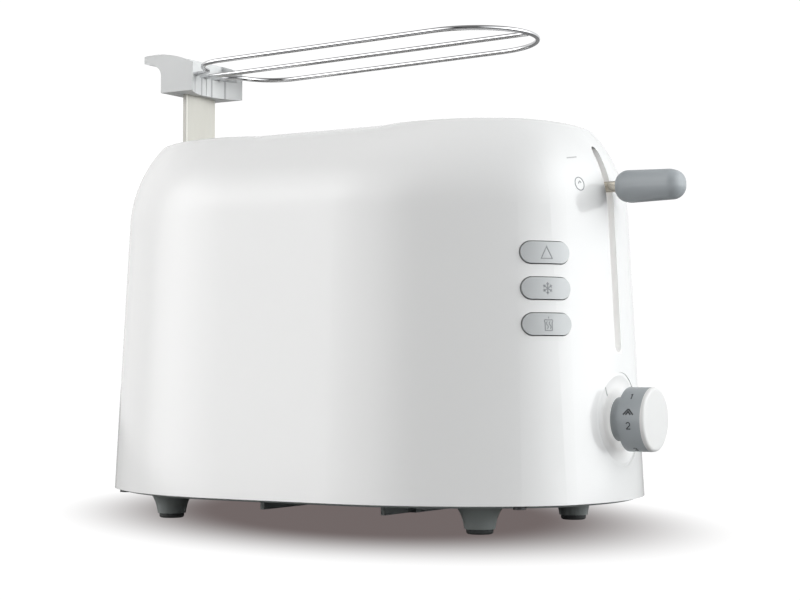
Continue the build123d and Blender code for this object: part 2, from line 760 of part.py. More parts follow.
# ---------------------------------------------------------------- heaters and bread guards
for name, y in zip(("front", "centre", "rear"), card_ys):
    face = card_thickness / 2
    with BuildPart() as card:
        block(card_left, card_right, y - face, y + face, card_bottom, card_top)
        for z in tab_heights:
            block(chamber_left - sheet - card_tab_reach, chamber_right + sheet + card_tab_reach,
                  y - face, y + face, z - card_tab / 2, z + card_tab / 2)
    finish(card, f"heater_card_{name}")

    with BuildPart() as winding:  # flat ribbons round the card, clear of its tabs
        step = (card_top - card_bottom) / ribbon_count
        heights = [card_bottom + step * (turn + 0.5) for turn in range(ribbon_count)]
        clear = card_tab / 2 + ribbon_height
        for z in [z for z in heights if min(abs(z - tab) for tab in tab_heights) > clear]:
            block(card_left - ribbon_thickness, card_right + ribbon_thickness,
                  y - face - ribbon_thickness, y + face + ribbon_thickness, z, z + ribbon_height)
        block(card_left, card_right, y - face, y + face, card_bottom, card_top, mode=Mode.SUBTRACT)
    finish(winding, f"heater_winding_{name}")

for name, y in guard_ys.items():
    with BuildPart() as guard:  # a welded grid of wires that keeps the bread off the heater
        for z in (guard_bottom + 6, guard_top - 6):
            bar((chamber_left - sheet - 1, y, z), (chamber_right + sheet + 1, y, z), guard_wire)
        for turn in range(guard_count):
            x = slot_x + (turn - (guard_count - 1) / 2) * (slot_length - 14) / (guard_count - 1)
            bar((x, y, guard_bottom), (x, y, guard_top), guard_wire)
    finish(guard, f"bread_guard_{name}")

# ---------------------------------------------------------------- rod, carriage, lifters and lever
bracket_left = chamber_right + sheet
bracket_right = carriage_x - 0.5

with BuildPart() as rod_bracket:
    block(bracket_left, bracket_left + bracket_sheet, -bracket_half_width, bracket_half_width,
          bracket_bottom, bracket_top)
    for z in (bracket_bottom, bracket_top - bracket_sheet):
        block(bracket_left, bracket_right, -bracket_half_width / 2, bracket_half_width / 2,
              z, z + bracket_sheet)
    bar((rod_x, 0, rod_bottom), (rod_x, 0, rod_top), rod_radius + 0.02, mode=Mode.SUBTRACT)
    for z in tab_heights:  # room for the middle heater card's tabs
        block(bracket_left - 1, bracket_left + bracket_sheet + 1, -card_thickness, card_thickness,
              z - card_tab / 2 - 0.5, z + card_tab / 2 + 0.5, mode=Mode.SUBTRACT)
finish(rod_bracket, "rod_bracket")

with BuildPart() as guide_rod:
    bar((rod_x, 0, rod_bottom), (rod_x, 0, rod_top), rod_radius)
    chamfer(edges().filter_by(GeomType.CIRCLE), 0.5)
finish(guide_rod, "guide_rod")

spring_foot = bracket_bottom + bracket_sheet
spring_height = sleeve_bottom - spring_foot
spring_run = spring_height - 2 * spring_wire - 0.2
with BuildPart() as return_spring:
    with BuildLine() as coil:
        Helix(pitch=spring_run / spring_turns, height=spring_run, radius=spring_radius,
              center=(rod_x, 0, spring_foot + spring_wire + 0.1))
    with BuildSketch(Plane(origin=coil.line @ 0, z_dir=coil.line % 0)) as wire:
        Circle(spring_wire)
    sweep(wire.sketch, path=coil.line, is_frenet=True)
finish(return_spring, "return_spring")

with BuildPart() as carriage:
    bar((rod_x, 0, sleeve_bottom), (rod_x, 0, sleeve_top), sleeve_radius)
    block(rod_x + rod_radius + 0.6, carriage_x + 0.6, -sleeve_radius, sleeve_radius,
          sleeve_bottom, sleeve_top)
    block(carriage_x, carriage_x + carriage_sheet, -carriage_half_width, carriage_half_width,
          carriage_bottom, sleeve_bottom)
    block(carriage_x, carriage_x + carriage_sheet, -bracket_half_width, bracket_half_width,
          sleeve_bottom, carriage_top)
    # keeper that the magnet holds while the bread toasts
    block(carriage_x, carriage_x + keeper_reach, keeper_y - keeper_width / 2, keeper_y + keeper_width / 2,
          keeper_height, keeper_height + carriage_sheet)
    bar((rod_x, 0, sleeve_bottom - 1), (rod_x, 0, sleeve_top + 1), rod_radius + running_gap,
        mode=Mode.SUBTRACT)
finish(carriage, "carriage")

with BuildPart() as lever_arm:
    arm_start = carriage_x + carriage_sheet
    block(arm_start, handle_start + handle_socket, -lever_bar_width / 2, lever_bar_width / 2,
          lever_height - lever_bar_height / 2, lever_height + lever_bar_height / 2)
    fillet(edges().filter_by(Axis.X), 1.2)
    block(arm_start, arm_start + carriage_sheet, -bracket_half_width, bracket_half_width,
          sleeve_bottom + 6, carriage_top)
finish(lever_arm, "lever_arm")

with BuildPart() as lever_handle:
    with BuildSketch(Plane.YZ.offset(handle_start)):
        with Locations((0, lever_height - 0.4)):
            RectangleRounded(handle_width, handle_height, handle_corner)
    extrude(amount=handle_tip - handle_start, taper=handle_taper)
    fillet(edges().group_by(Axis.X)[0] + edges().group_by(Axis.X)[-1], handle_end_round)
    block(handle_start - 1, handle_start + handle_socket + 0.1, -lever_bar_width / 2 - 0.05,
          lever_bar_width / 2 + 0.05, lever_height - lever_bar_height / 2 - 0.05,
          lever_height + lever_bar_height / 2 + 0.05, mode=Mode.SUBTRACT)
finish(lever_handle, "lever_handle")

shelf_z = carriage_bottom + web_height
for name, side in (("front", -1), ("rear", 1)):
    y = side * slot_pitch / 2
    with BuildPart() as lifter:  # an upright web with a fingered shelf that the bread stands on
        block(chamber_left - sheet - 3, carriage_x, y - web_thickness / 2, y + web_thickness / 2,
              carriage_bottom, shelf_z)
        block(slot_x - slot_length / 2 + 3, slot_x + slot_length / 2 - 3, y - shelf_half_width,
              y + shelf_half_width, shelf_z, shelf_z + shelf_thickness)
        for edge in (-1, 1):
            with Locations((slot_x, y + edge * (shelf_half_width / 2 + 2.5), shelf_z)):
                with GridLocations(2 * shelf_finger, 0, int(slot_length / (2 * shelf_finger)) - 1, 1):
                    Box(shelf_finger, shelf_half_width - 2, 4 * shelf_thickness, mode=Mode.SUBTRACT)
        with Locations((carriage_x - 0.5, y + side * 4, carriage_bottom + web_height / 2)):
            Box(1, 8, web_height)
    finish(lifter, f"bread_lifter_{name}")

# ---------------------------------------------------------------- control board, magnet and knob
with BuildPart() as control_board:
    block(board_x, board_x + board_thickness, -board_half_width, board_half_width,
          board_bottom, board_bottom + board_height)
    for side in (-1, 1):
        y = side * (board_half_width - 2 * board_rib)
        z = board_bottom + board_height - 4 * board_rib
        bar((board_x - 1, y, z), (board_x + board_thickness + 1, y, z), screw_radius, mode=Mode.SUBTRACT)
    # a relay, a capacitor and a chip on the side away from the chamber
    parts_x = board_x + board_thickness
    block(parts_x, parts_x + relay_depth, -part_side - relay_width, -part_side,
          board_bottom + part_low, board_bottom + part_low + relay_height)
    capacitor_height = board_bottom + part_low + capacitor_radius
    bar((parts_x, part_side + capacitor_radius, capacitor_height),
        (parts_x + capacitor_length, part_side + capacitor_radius, capacitor_height), capacitor_radius)
    block(parts_x, parts_x + chip_depth, part_side, part_side + chip_width,
          board_bottom + board_height / 2, board_bottom + board_height / 2 + chip_height)
finish(control_board, "control_board")

magnet_top = keeper_height - lever_drop - magnet_gap
magnet_right = board_x
magnet_left = magnet_right - magnet_width
with BuildPart() as magnet_core:  # a U of steel, its two poles pointing up
    block(magnet_left, magnet_right, keeper_y - magnet_depth, keeper_y + magnet_depth,
          magnet_top - magnet_height, magnet_top - magnet_height + 4)
    for side in (-1, 1):
        y = keeper_y + side * (magnet_depth - 1.5)
        block(magnet_left + 2, magnet_right - 2, y - 1.5, y + 1.5, magnet_top - magnet_height, magnet_top)
    bar((magnet_left + magnet_width / 2, keeper_y, magnet_top - magnet_height),
        (magnet_left + magnet_width / 2, keeper_y, magnet_top), 2)
finish(magnet_core, "magnet_core")

with BuildPart() as magnet_coil:
    bar((magnet_left + magnet_width / 2, keeper_y, magnet_top - magnet_height + 4.5),
        (magnet_left + magnet_width / 2, keeper_y, magnet_top - 2), coil_radius + 1)
    bar((magnet_left + magnet_width / 2, keeper_y, magnet_top - magnet_height + 4),
        (magnet_left + magnet_width / 2, keeper_y, magnet_top), 2.05, mode=Mode.SUBTRACT)
finish(magnet_coil, "magnet_coil")

pot_front = board_x + board_thickness + pot_depth
bushing_end = dish_x - dish_depth - 0.4
with BuildPart() as potentiometer:
    block(board_x + board_thickness, pot_front, -pot_body / 2, pot_body / 2,
          knob_height - pot_body / 2, knob_height + pot_body / 2)
    bar((pot_front, 0, knob_height), (bushing_end, 0, knob_height), bushing_radius)
    bar((pot_front - 3, 0, knob_height), (bushing_end + 1, 0, knob_height), shaft_radius + running_gap,
        mode=Mode.SUBTRACT)
finish(potentiometer, "potentiometer")

skirt_end = knob_back + skirt_length
shaft_end = skirt_end - 0.5
hub_start = dish_x - dish_depth + 2.0
with BuildPart() as knob_shaft:
    bar((pot_front - 2.5, 0, knob_height), (shaft_end - 0.2, 0, knob_height), shaft_radius)
    block(shaft_end - 8, shaft_end + 1, shaft_radius * 0.5, shaft_radius * 2,
          knob_height - 4, knob_height + 4, mode=Mode.SUBTRACT)
finish(knob_shaft, "knob_shaft")

with BuildPart() as knob_skirt:
    bar((knob_back, 0, knob_height), (skirt_end, 0, knob_height), knob_radius)
    bar((knob_back - 1, 0, knob_height), (skirt_end - 2.4, 0, knob_height), knob_radius - 2,
        mode=Mode.SUBTRACT)
    bar((hub_start, 0, knob_height), (skirt_end, 0, knob_height), shaft_radius + hub_wall)
    bar((hub_start - 1, 0, knob_height), (shaft_end, 0, knob_height), shaft_radius + 0.05,
        mode=Mode.SUBTRACT)
    block(shaft_end - 7.8, shaft_end, shaft_radius * 0.5 + 0.05, shaft_radius + 0.2,
          knob_height - 4, knob_height + 4)
finish(knob_skirt, "knob_skirt")

with BuildPart() as knob_cap:
    bar((skirt_end, 0, knob_height), (skirt_end + cap_length, 0, knob_height), knob_radius)
    fillet(edges().group_by(Axis.X)[-1], cap_round)
finish(knob_cap, "knob_cap")

# ---------------------------------------------------------------- buttons
with BuildPart() as button_form:
    body_form(-button_proud, body_foot - 1, body_top + button_proud)

flange_depth = wall + 2.4
for name, plane in zip(("top", "middle", "bottom"), button_planes):
    with BuildPart() as button:
        with BuildSketch(plane.offset(-button_depth)):
            SlotOverall(button_length, button_width)
        extrude(amount=button_depth + 4)
        add(button_form.part, mode=Mode.INTERSECT)
        with BuildSketch(plane.offset(-button_depth)):
            SlotOverall(button_length + 3, button_width + 3)
        extrude(amount=button_depth - flange_depth)
        with BuildSketch(plane.offset(-button_depth - stem_length)):
            Circle(stem_radius)
        extrude(amount=stem_length)
    finish(button, f"button_{name}")

with BuildPart() as button_board:
    with BuildSketch(panel.offset(-board_depth - board_thickness)):
        Rectangle(button_board_width, button_board_height)
        with Locations((0, stand_off_spread), (0, -stand_off_spread)):
            Circle(screw_radius, mode=Mode.SUBTRACT)
    extrude(amount=board_thickness)
finish(button_board, "button_board")

with BuildPart() as button_switches:
    for plane in button_planes:
        with BuildSketch(plane.offset(-board_depth)):
            Rectangle(switch_size, switch_size)
        extrude(amount=switch_height)
        with BuildSketch(plane.offset(-board_depth + switch_height)):
            Circle(plunger_radius)
        extrude(amount=plunger_height)
finish(button_switches, "button_switches")

with BuildPart() as board_screws:
    back = -board_depth - board_thickness
    for step in (-1, 1):
        with BuildSketch(panel.offset(back - screw_head_height)):
            with Locations((0, step * stand_off_spread)):
                Circle(screw_head_radius)
        extrude(amount=screw_head_height)
        with BuildSketch(panel.offset(back)):
            with Locations((0, step * stand_off_spread)):
                Circle(screw_radius * 0.66)
        extrude(amount=board_thickness + 6)
finish(board_screws, "board_screws")

# ---------------------------------------------------------------- bun-warming rack
rise = radians(rack_rise)
wires = Plane(origin=(wire_bend_start, 0, wire_height), x_dir=(cos(rise), 0, sin(rise)),
              z_dir=(-sin(rise), 0, cos(rise)))
bend = degrees(acos(1 - (loop_half_width - wire_spread) / (loop_inner_bend + loop_outer_bend)))
bend_run = (loop_inner_bend + loop_outer_bend) * sin(radians(bend))
wire_lead = wire_start - wire_bend_start
loop_centre = loop_tip - wire_radius - loop_half_width - wire_bend_start

with BuildLine(wires) as loop_path:  # out of the head, round the loop and back
    Line((wire_lead, wire_spread), (0, wire_spread))
    CenterArc((0, wire_spread + loop_inner_bend), loop_inner_bend, -90, bend)
    CenterArc((bend_run, loop_half_width - loop_outer_bend), loop_outer_bend, 90 + bend, -bend)
    Line((bend_run, loop_half_width), (loop_centre, loop_half_width))
    CenterArc((loop_centre, 0), loop_half_width, 90, -180)
    Line((loop_centre, -loop_half_width), (bend_run, -loop_half_width))
    CenterArc((bend_run, loop_outer_bend - loop_half_width), loop_outer_bend, -90, -bend)
    CenterArc((0, -wire_spread - loop_inner_bend), loop_inner_bend, 90 - bend, bend)
    Line((0, -wire_spread), (wire_lead, -wire_spread))


centre_start = wires.from_local_coords((wire_lead, 0, 0))
centre_end = wires.from_local_coords((loop_centre + loop_half_width - wire_radius - 0.02, 0, 0))

with BuildPart() as rack_loop:
    wire_end = wires.from_local_coords((wire_lead, wire_spread, 0))
    with BuildSketch(Plane(origin=wire_end, z_dir=wires.x_dir)) as section:
        Circle(wire_radius)
    sweep(section.sketch, path=loop_path.wires()[0])
finish(rack_loop, "rack_loop")

with BuildPart() as rack_centre_wire:
    bar(centre_start, centre_end, wire_radius)
finish(rack_centre_wire, "rack_centre_wire")

post_top = head_shelf - head_floor
head_top = head_bottom + head_height
head_nose = head_bottom + nose_height
hook_root = head_bottom + root_height
hook_tip = head_back - hook_reach
scoop_x = post_front
scoop_top = head_shelf + head_height
with BuildPart() as rack_post:
    block(post_back, post_front, -post_width / 2, post_width / 2, post_bottom, post_top)
    block(post_back, post_front, -post_width / 2 - post_ear, post_width / 2 + post_ear,
          post_bottom, post_bottom + post_ear_height)
    fillet(edges().filter_by(Axis.X).group_by(Axis.Z)[0], 1)
finish(rack_post, "rack_post")

with BuildPart() as rack_head:
    with BuildSketch(Plane.XZ.offset(-head_half_width)) as side_view:
        with BuildLine() as profile:
            Polyline((head_back, hook_root), (head_back, head_bottom), (head_front, head_bottom),
                     (head_front, head_nose))
            Spline((head_front, head_nose), (head_back + 7, head_top - 0.7), (hook_tip, head_top),
                   tangents=[(-1, 0.5), (-1, -0.08)])
            Line((hook_tip, head_top), (hook_tip - 0.2, head_top - hook_thickness))
            Spline((hook_tip - 0.2, head_top - hook_thickness), (head_back, hook_root),
                   tangents=[(1, -0.25), (0, -1)])
        make_face(profile.edges())
    extrude(side_view.sketch, amount=2 * head_half_width, dir=(0, -1, 0))
    fillet(edges().filter_by_position(Axis.X, hook_tip - 1, hook_tip + 1), 0.8)
    # scooped shelf between the cheeks, with the front drawn back in an arc
    with BuildSketch(Plane.XZ.offset(-head_half_width + cheek)) as scoop:
        with BuildLine() as scoop_line:
            Polyline((head_front + 5, head_shelf), (scoop_x, head_shelf), (scoop_x, head_shelf + 1))
            RadiusArc((scoop_x, head_shelf + 1), (scoop_x - 5, scoop_top), -30)
            Polyline((scoop_x - 5, scoop_top), (head_front + 5, scoop_top), (head_front + 5, head_shelf))
        make_face(scoop_line.edges())
    extrude(scoop.sketch, amount=2 * (head_half_width - cheek), dir=(0, -1, 0), mode=Mode.SUBTRACT)
    with Locations((-head_concave_depth + head_concave, 0, head_bottom + 12)):
        Cylinder(head_concave, 40, mode=Mode.SUBTRACT)
    # grooves at the wires, and the sockets for the wires and the post
    for y in (-wire_spread, 0, wire_spread):
        bar((-head_concave_depth, y, head_bottom - 1), (-head_concave_depth, y, head_shelf + 1), 0.35,
            mode=Mode.SUBTRACT)
    for y in (-wire_spread, 0, wire_spread):
        lead_start = wires.from_local_coords((wire_lead, y, 0))
        lead_end = wires.from_local_coords((0, y, 0))
        bar(lead_start, lead_end, wire_radius + wire_gap, mode=Mode.SUBTRACT)
    block(post_back - 0.05, post_front + 0.05, -post_width / 2 - 0.05, post_width / 2 + 0.05,
          head_bottom - 1, post_top + 0.05, mode=Mode.SUBTRACT)
finish(rack_head, "rack_head")

guide_top = pocket_floor - wall
ear_half = post_width / 2 + post_ear + rack_slot_gap
with BuildPart() as rack_guide:  # a sleeve under the pocket, wide below for the post's ears
    block(post_x - rack_slot_x - guide_wall, post_x + rack_slot_x + guide_wall, -ear_half - guide_wall,
          ear_half + guide_wall, guide_bottom, guide_top)
    block(post_x - rack_slot_x - guide_wall, post_x + rack_slot_x + guide_wall, -peg_y - 4, peg_y + 4,
          guide_top - 2.4, guide_top)
    block(post_x - rack_slot_x, post_x + rack_slot_x, -ear_half, ear_half, guide_bottom - 1, guide_shoulder,
          mode=Mode.SUBTRACT)
    block(post_x - rack_slot_x, post_x + rack_slot_x, -rack_slot_half, rack_slot_half,
          guide_bottom, guide_top + 1,
          mode=Mode.SUBTRACT)
    for side in (-1, 1):
        bar((post_x, side * peg_y, guide_top - 5), (post_x, side * peg_y, guide_top + 1), peg_radius + 0.1,
            mode=Mode.SUBTRACT)
finish(rack_guide, "rack_guide")

# ---------------------------------------------------------------- mains inlet
gland_seat = half_depth - lean * (gland_z - gland_flange - body_foot) + 0.05
gland_end = gland_seat + gland_flange_thickness
with BuildPart() as cord_gland:  # a bushing that a mains lead comes in through
    bar((gland_x, gland_end - gland_length, gland_z), (gland_x, gland_end, gland_z), gland_radius)
    bar((gland_x, gland_seat, gland_z), (gland_x, gland_end, gland_z), gland_flange)
    fillet(edges().group_by(Axis.Y)[-1], 1.2)
    bar((gland_x, gland_end - gland_length - 1, gland_z), (gland_x, gland_end + 1, gland_z), gland_bore,
        mode=Mode.SUBTRACT)
finish(cord_gland, "cord_gland")

with BuildPart() as terminal_block:
    block(chamber_right + 8, chamber_right + 28, chamber_half_depth - 20, chamber_half_depth - 4,
          base_top, base_top + 12)
    for turn in range(3):
        x = chamber_right + 11.5 + turn * 6.5
        bar((x, chamber_half_depth - 12, base_top + 4), (x, chamber_half_depth - 12, base_top + 13), 1.8,
            mode=Mode.SUBTRACT)
finish(terminal_block, "terminal_block")
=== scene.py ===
import json
from math import cos, pi, radians, sin, tan

import bpy
import numpy as np
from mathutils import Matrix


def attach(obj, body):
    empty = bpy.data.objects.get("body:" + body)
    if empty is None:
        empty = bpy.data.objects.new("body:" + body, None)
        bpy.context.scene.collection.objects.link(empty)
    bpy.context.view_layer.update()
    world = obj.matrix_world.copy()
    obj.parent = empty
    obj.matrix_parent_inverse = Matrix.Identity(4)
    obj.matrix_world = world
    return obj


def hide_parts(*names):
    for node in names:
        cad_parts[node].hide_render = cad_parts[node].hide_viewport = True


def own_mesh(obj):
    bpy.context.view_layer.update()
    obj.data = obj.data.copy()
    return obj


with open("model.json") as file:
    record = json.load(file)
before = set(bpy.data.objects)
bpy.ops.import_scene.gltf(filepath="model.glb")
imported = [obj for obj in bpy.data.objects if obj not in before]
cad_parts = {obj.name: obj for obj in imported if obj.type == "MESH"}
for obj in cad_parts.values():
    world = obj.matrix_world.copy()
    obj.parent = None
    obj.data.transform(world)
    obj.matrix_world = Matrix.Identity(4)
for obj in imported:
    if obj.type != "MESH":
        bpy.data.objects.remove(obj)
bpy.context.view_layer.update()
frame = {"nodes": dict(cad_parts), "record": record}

mm = 0.001
print("frame loaded:", len(frame["nodes"]), "nodes")


# One shader node with its settings, and plain values on its sockets.
def addNode(tree, kind, values=None, **settings):
    node = tree.nodes.new(kind)
    for key, value in settings.items():
        setattr(node, key, value)
    for key, value in (values or {}).items():
        node.inputs[key].default_value = value
    return node


# A node group with named inputs and outputs; returns the group, its input node and output node.
def openGroup(name, takes, gives):
    group = bpy.data.node_groups.new(name, "ShaderNodeTree")
    for socketName, kind, value in takes:
        socket = group.interface.new_socket(socketName, in_out="INPUT", socket_type=kind)
        if value is not None:
            socket.default_value = value
    for socketName, kind in gives:
        group.interface.new_socket(socketName, in_out="OUTPUT", socket_type=kind)
    return group, group.nodes.new("NodeGroupInput"), group.nodes.new("NodeGroupOutput")


floatSocket, vectorSocket = "NodeSocketFloat", "NodeSocketVector"


# Fine moulding grain over slow waves: Height for a bump, Mottle from 0 to 1 for colour and gloss.
def buildMouldedSkin():
    group, takes, gives = openGroup(
        "mouldedSkin",
        [("Position", vectorSocket, None), ("Grain Scale", floatSocket, 900.0),
         ("Wave Scale", floatSocket, 14.0), ("Wave Share", floatSocket, 0.5)],
        [("Height", floatSocket), ("Mottle", floatSocket)])
    link = group.links.new
    grain = addNode(group, "ShaderNodeTexNoise", {"Detail": 3.0, "Roughness": 0.6})
    waves = addNode(group, "ShaderNodeTexNoise", {"Detail": 1.0, "Roughness": 0.4})
    mix = addNode(group, "ShaderNodeMix", data_type="FLOAT")
    for node, scale in ((grain, "Grain Scale"), (waves, "Wave Scale")):
        link(takes.outputs["Position"], node.inputs["Vector"])
        link(takes.outputs[scale], node.inputs["Scale"])
    link(takes.outputs["Wave Share"], mix.inputs[0])
    link(grain.outputs["Fac"], mix.inputs[2])
    link(waves.outputs["Fac"], mix.inputs[3])
    link(mix.outputs[0], gives.inputs["Height"])
    link(waves.outputs["Fac"], gives.inputs["Mottle"])
    return group


# Long fine scratches: noise stretched along one axis by the Stretch vector.
def buildBrushedGrain():
    group, takes, gives = openGroup(
        "brushedGrain",
        [("Position", vectorSocket, None), ("Stretch", vectorSocket, (1.0, 1.0, 1.0))],
        [("Height", floatSocket), ("Streak", floatSocket)])
    link = group.links.new
    stretched = addNode(group, "ShaderNodeVectorMath", operation="MULTIPLY")
    scratch = addNode(group, "ShaderNodeTexNoise", {"Scale": 1.0, "Detail": 4.0, "Roughness": 0.7})
    spread = addNode(group, "ShaderNodeMapRange", {"From Min": 0.3, "From Max": 0.7})
    link(takes.outputs["Position"], stretched.inputs[0])
    link(takes.outputs["Stretch"], stretched.inputs[1])
    link(stretched.outputs[0], scratch.inputs["Vector"])
    link(scratch.outputs["Fac"], spread.inputs["Value"])
    link(scratch.outputs["Fac"], gives.inputs["Height"])
    link(spread.outputs["Result"], gives.inputs["Streak"])
    return group


mouldedSkin = buildMouldedSkin()
brushedGrain = buildBrushedGrain()


# A material with Object coordinates and a Principled shader whose constants are set on its sockets.
def startFinish(name, look):
    material = bpy.data.materials.new(name)
    material.use_nodes = True
    tree = material.node_tree
    shader = tree.nodes["Principled BSDF"]
    for socket, value in look.get("sockets", {}).items():
        shader.inputs[socket].default_value = value
    place = addNode(tree, "ShaderNodeTexCoord")
    return material, tree, shader, place.outputs["Object"]


# Feeds a socket with a value that runs from low to high with the factor.
def spreadInto(tree, factor, low, high, socket):
    ramp = addNode(tree, "ShaderNodeMapRange", {"To Min": low, "To Max": high})
    tree.links.new(factor, ramp.inputs["Value"])
    tree.links.new(ramp.outputs["Result"], socket)


# Feeds a colour socket with a blend of two colours.
def tintInto(tree, factor, first, second, socket):
    ends = {6: (*first, 1.0), 7: (*second, 1.0)}
    blend = addNode(tree, "ShaderNodeMix", ends, data_type="RGBA")
    tree.links.new(factor, blend.inputs[0])
    tree.links.new(blend.outputs[2], socket)


# Feeds the shader's normal with a bump as deep as the distance, in metres.
def bumpInto(tree, height, distance, shader):
    bump = addNode(tree, "ShaderNodeBump", {"Distance": distance, "Strength": 1.0})
    tree.links.new(height, bump.inputs["Height"])
    tree.links.new(bump.outputs["Normal"], shader.inputs["Normal"])


# One inside a box of Object coordinates and nought outside it.
def boxMask(tree, position, box):
    axes = addNode(tree, "ShaderNodeSeparateXYZ")
    tree.links.new(position, axes.inputs[0])
    inside = None
    for axis, (low, high) in zip("XYZ", box):
        middle, half = (low + high) / 2, (high - low) / 2
        near = addNode(tree, "ShaderNodeMath", {1: middle, 2: half}, operation="COMPARE")
        tree.links.new(axes.outputs[axis], near.inputs[0])
        if inside is not None:
            both = addNode(tree, "ShaderNodeMath", operation="MULTIPLY")
            tree.links.new(inside, both.inputs[0])
            tree.links.new(near.outputs[0], both.inputs[1])
            near = both
        inside = near.outputs[0]
    return inside


# Colour and gloss follow the factor between the look's ends, and the bump follows the height.
def followPattern(tree, shader, look, factor, height):
    tintInto(tree, factor, look["color"], look["shade"], shader.inputs["Base Color"])
    spreadInto(tree, factor, *look["roughness"], shader.inputs["Roughness"])
    bumpInto(tree, height, look["bump"], shader)


# Moulded plastic, rubber or enamel: skin grain in its height, slow mottle in its colour and gloss.
def moulding(name, look):
    material, tree, shader, position = startFinish(name, look)
    skin = addNode(tree, "ShaderNodeGroup", node_tree=mouldedSkin)
    for socket, value in look["skin"].items():
        skin.inputs[socket].default_value = value
    tree.links.new(position, skin.inputs["Position"])
    followPattern(tree, shader, look, skin.outputs["Mottle"], skin.outputs["Height"])
    return material


# Rolled or brushed metal: stretched scratches in its height, colour and gloss.
def brushed(name, look):
    material, tree, shader, position = startFinish(name, look)
    grain = addNode(tree, "ShaderNodeGroup", node_tree=brushedGrain)
    grain.inputs["Stretch"].default_value = look["stretch"]
    tree.links.new(position, grain.inputs["Position"])
    followPattern(tree, shader, look, grain.outputs["Streak"], grain.outputs["Height"])
    return material


shellGloss = moulding("shellGloss", {
    "color": (0.86, 0.86, 0.855), "shade": (0.845, 0.845, 0.84),
    "roughness": (0.10, 0.13), "bump": 0.000012,
    "skin": {"Grain Scale": 500.0, "Wave Scale": 16.0, "Wave Share": 0.9},
    "sockets": {"IOR": 1.52, "Subsurface Weight": 0.0}})

# Painted light: a glow in the shell's finish brightens the walls of the lever's slot and of the
# dial's hollow, standing in for light that falls there; boxes, places and distances in metres.
shellPaintedGlow = {
    "color": (1.0, 0.985, 0.96),
    "slot": {"box": ((0.110, 0.150), (-0.0036, 0.0036), (0.0845, 0.1835)), "strength": 0.22},
    "hollow": {"box": ((0.130, 0.1445), (-0.0224, 0.0224), (0.0306, 0.0754)),
               "axisZ": 0.053, "near": 0.009, "far": 0.0230, "strength": (0.40, 0.0)}}


# Paints light into the shell's finish as a glow: even in the slot, and falling off with the
# distance from the dial's axis in the hollow.
def paintGlowIntoRecesses(material):
    tree = material.node_tree
    shader = tree.nodes["Principled BSDF"]
    position = addNode(tree, "ShaderNodeTexCoord").outputs["Object"]
    slot, hollow = shellPaintedGlow["slot"], shellPaintedGlow["hollow"]
    shader.inputs["Emission Color"].default_value = (*shellPaintedGlow["color"], 1.0)
    across = addNode(tree, "ShaderNodeMapping", {
        "Location": (0, 0, -hollow["axisZ"]), "Scale": (0, 1, 1)})
    reach = addNode(tree, "ShaderNodeVectorMath", operation="LENGTH")
    fade = addNode(tree, "ShaderNodeMapRange", {
        "From Min": hollow["near"], "From Max": hollow["far"],
        "To Min": hollow["strength"][0], "To Max": hollow["strength"][1]})
    dish = addNode(tree, "ShaderNodeMath", operation="MULTIPLY")
    total = addNode(tree, "ShaderNodeMath", {1: slot["strength"]}, operation="MULTIPLY_ADD")
    tree.links.new(position, across.inputs["Vector"])
    tree.links.new(across.outputs["Vector"], reach.inputs[0])
    tree.links.new(reach.outputs["Value"], fade.inputs["Value"])
    tree.links.new(fade.outputs["Result"], dish.inputs[0])
    tree.links.new(boxMask(tree, position, hollow["box"]), dish.inputs[1])
    tree.links.new(boxMask(tree, position, slot["box"]), total.inputs[0])
    tree.links.new(dish.outputs[0], total.inputs[2])
    tree.links.new(total.outputs[0], shader.inputs["Emission Strength"])


paintGlowIntoRecesses(shellGloss)

capWhite = moulding("capWhite", {
    "color": (0.84, 0.84, 0.83), "shade": (0.82, 0.82, 0.81),
    "roughness": (0.30, 0.36), "bump": 0.00001,
    "skin": {"Grain Scale": 1400.0, "Wave Scale": 60.0, "Wave Share": 0.3},
    "sockets": {"IOR": 1.5}})
gripGrey = moulding("gripGrey", {
    "color": (0.41, 0.44, 0.46), "shade": (0.38, 0.41, 0.43),
    "roughness": (0.34, 0.42), "bump": 0.00002,
    "skin": {"Grain Scale": 2200.0, "Wave Scale": 90.0, "Wave Share": 0.25},
    "sockets": {"IOR": 1.5}})
buttonSilver = moulding("buttonSilver", {
    "color": (0.50, 0.515, 0.52), "shade": (0.47, 0.485, 0.49),
    "roughness": (0.30, 0.36), "bump": 0.00001,
    "skin": {"Grain Scale": 2600.0, "Wave Scale": 120.0, "Wave Share": 0.2},
    "sockets": {"IOR": 1.5, "Metallic": 0.15}})
rackGrey = moulding("rackGrey", {
    "color": (0.66, 0.67, 0.67), "shade": (0.62, 0.63, 0.63),
    "roughness": (0.34, 0.42), "bump": 0.000015,
    "skin": {"Grain Scale": 1800.0, "Wave Scale": 80.0, "Wave Share": 0.3},
    "sockets": {"IOR": 1.5}})
# The rack head's grooves as painted shade: dark lines where shade falls in them; box in metres.
rackGrooveShade = {
    "box": ((-0.1095, -0.095), (-0.0205, 0.0205), (0.227, 0.240)), "scale": 35.0,
    "crest": (0.93, 0.99), "color": (0.34, 0.34, 0.35)}
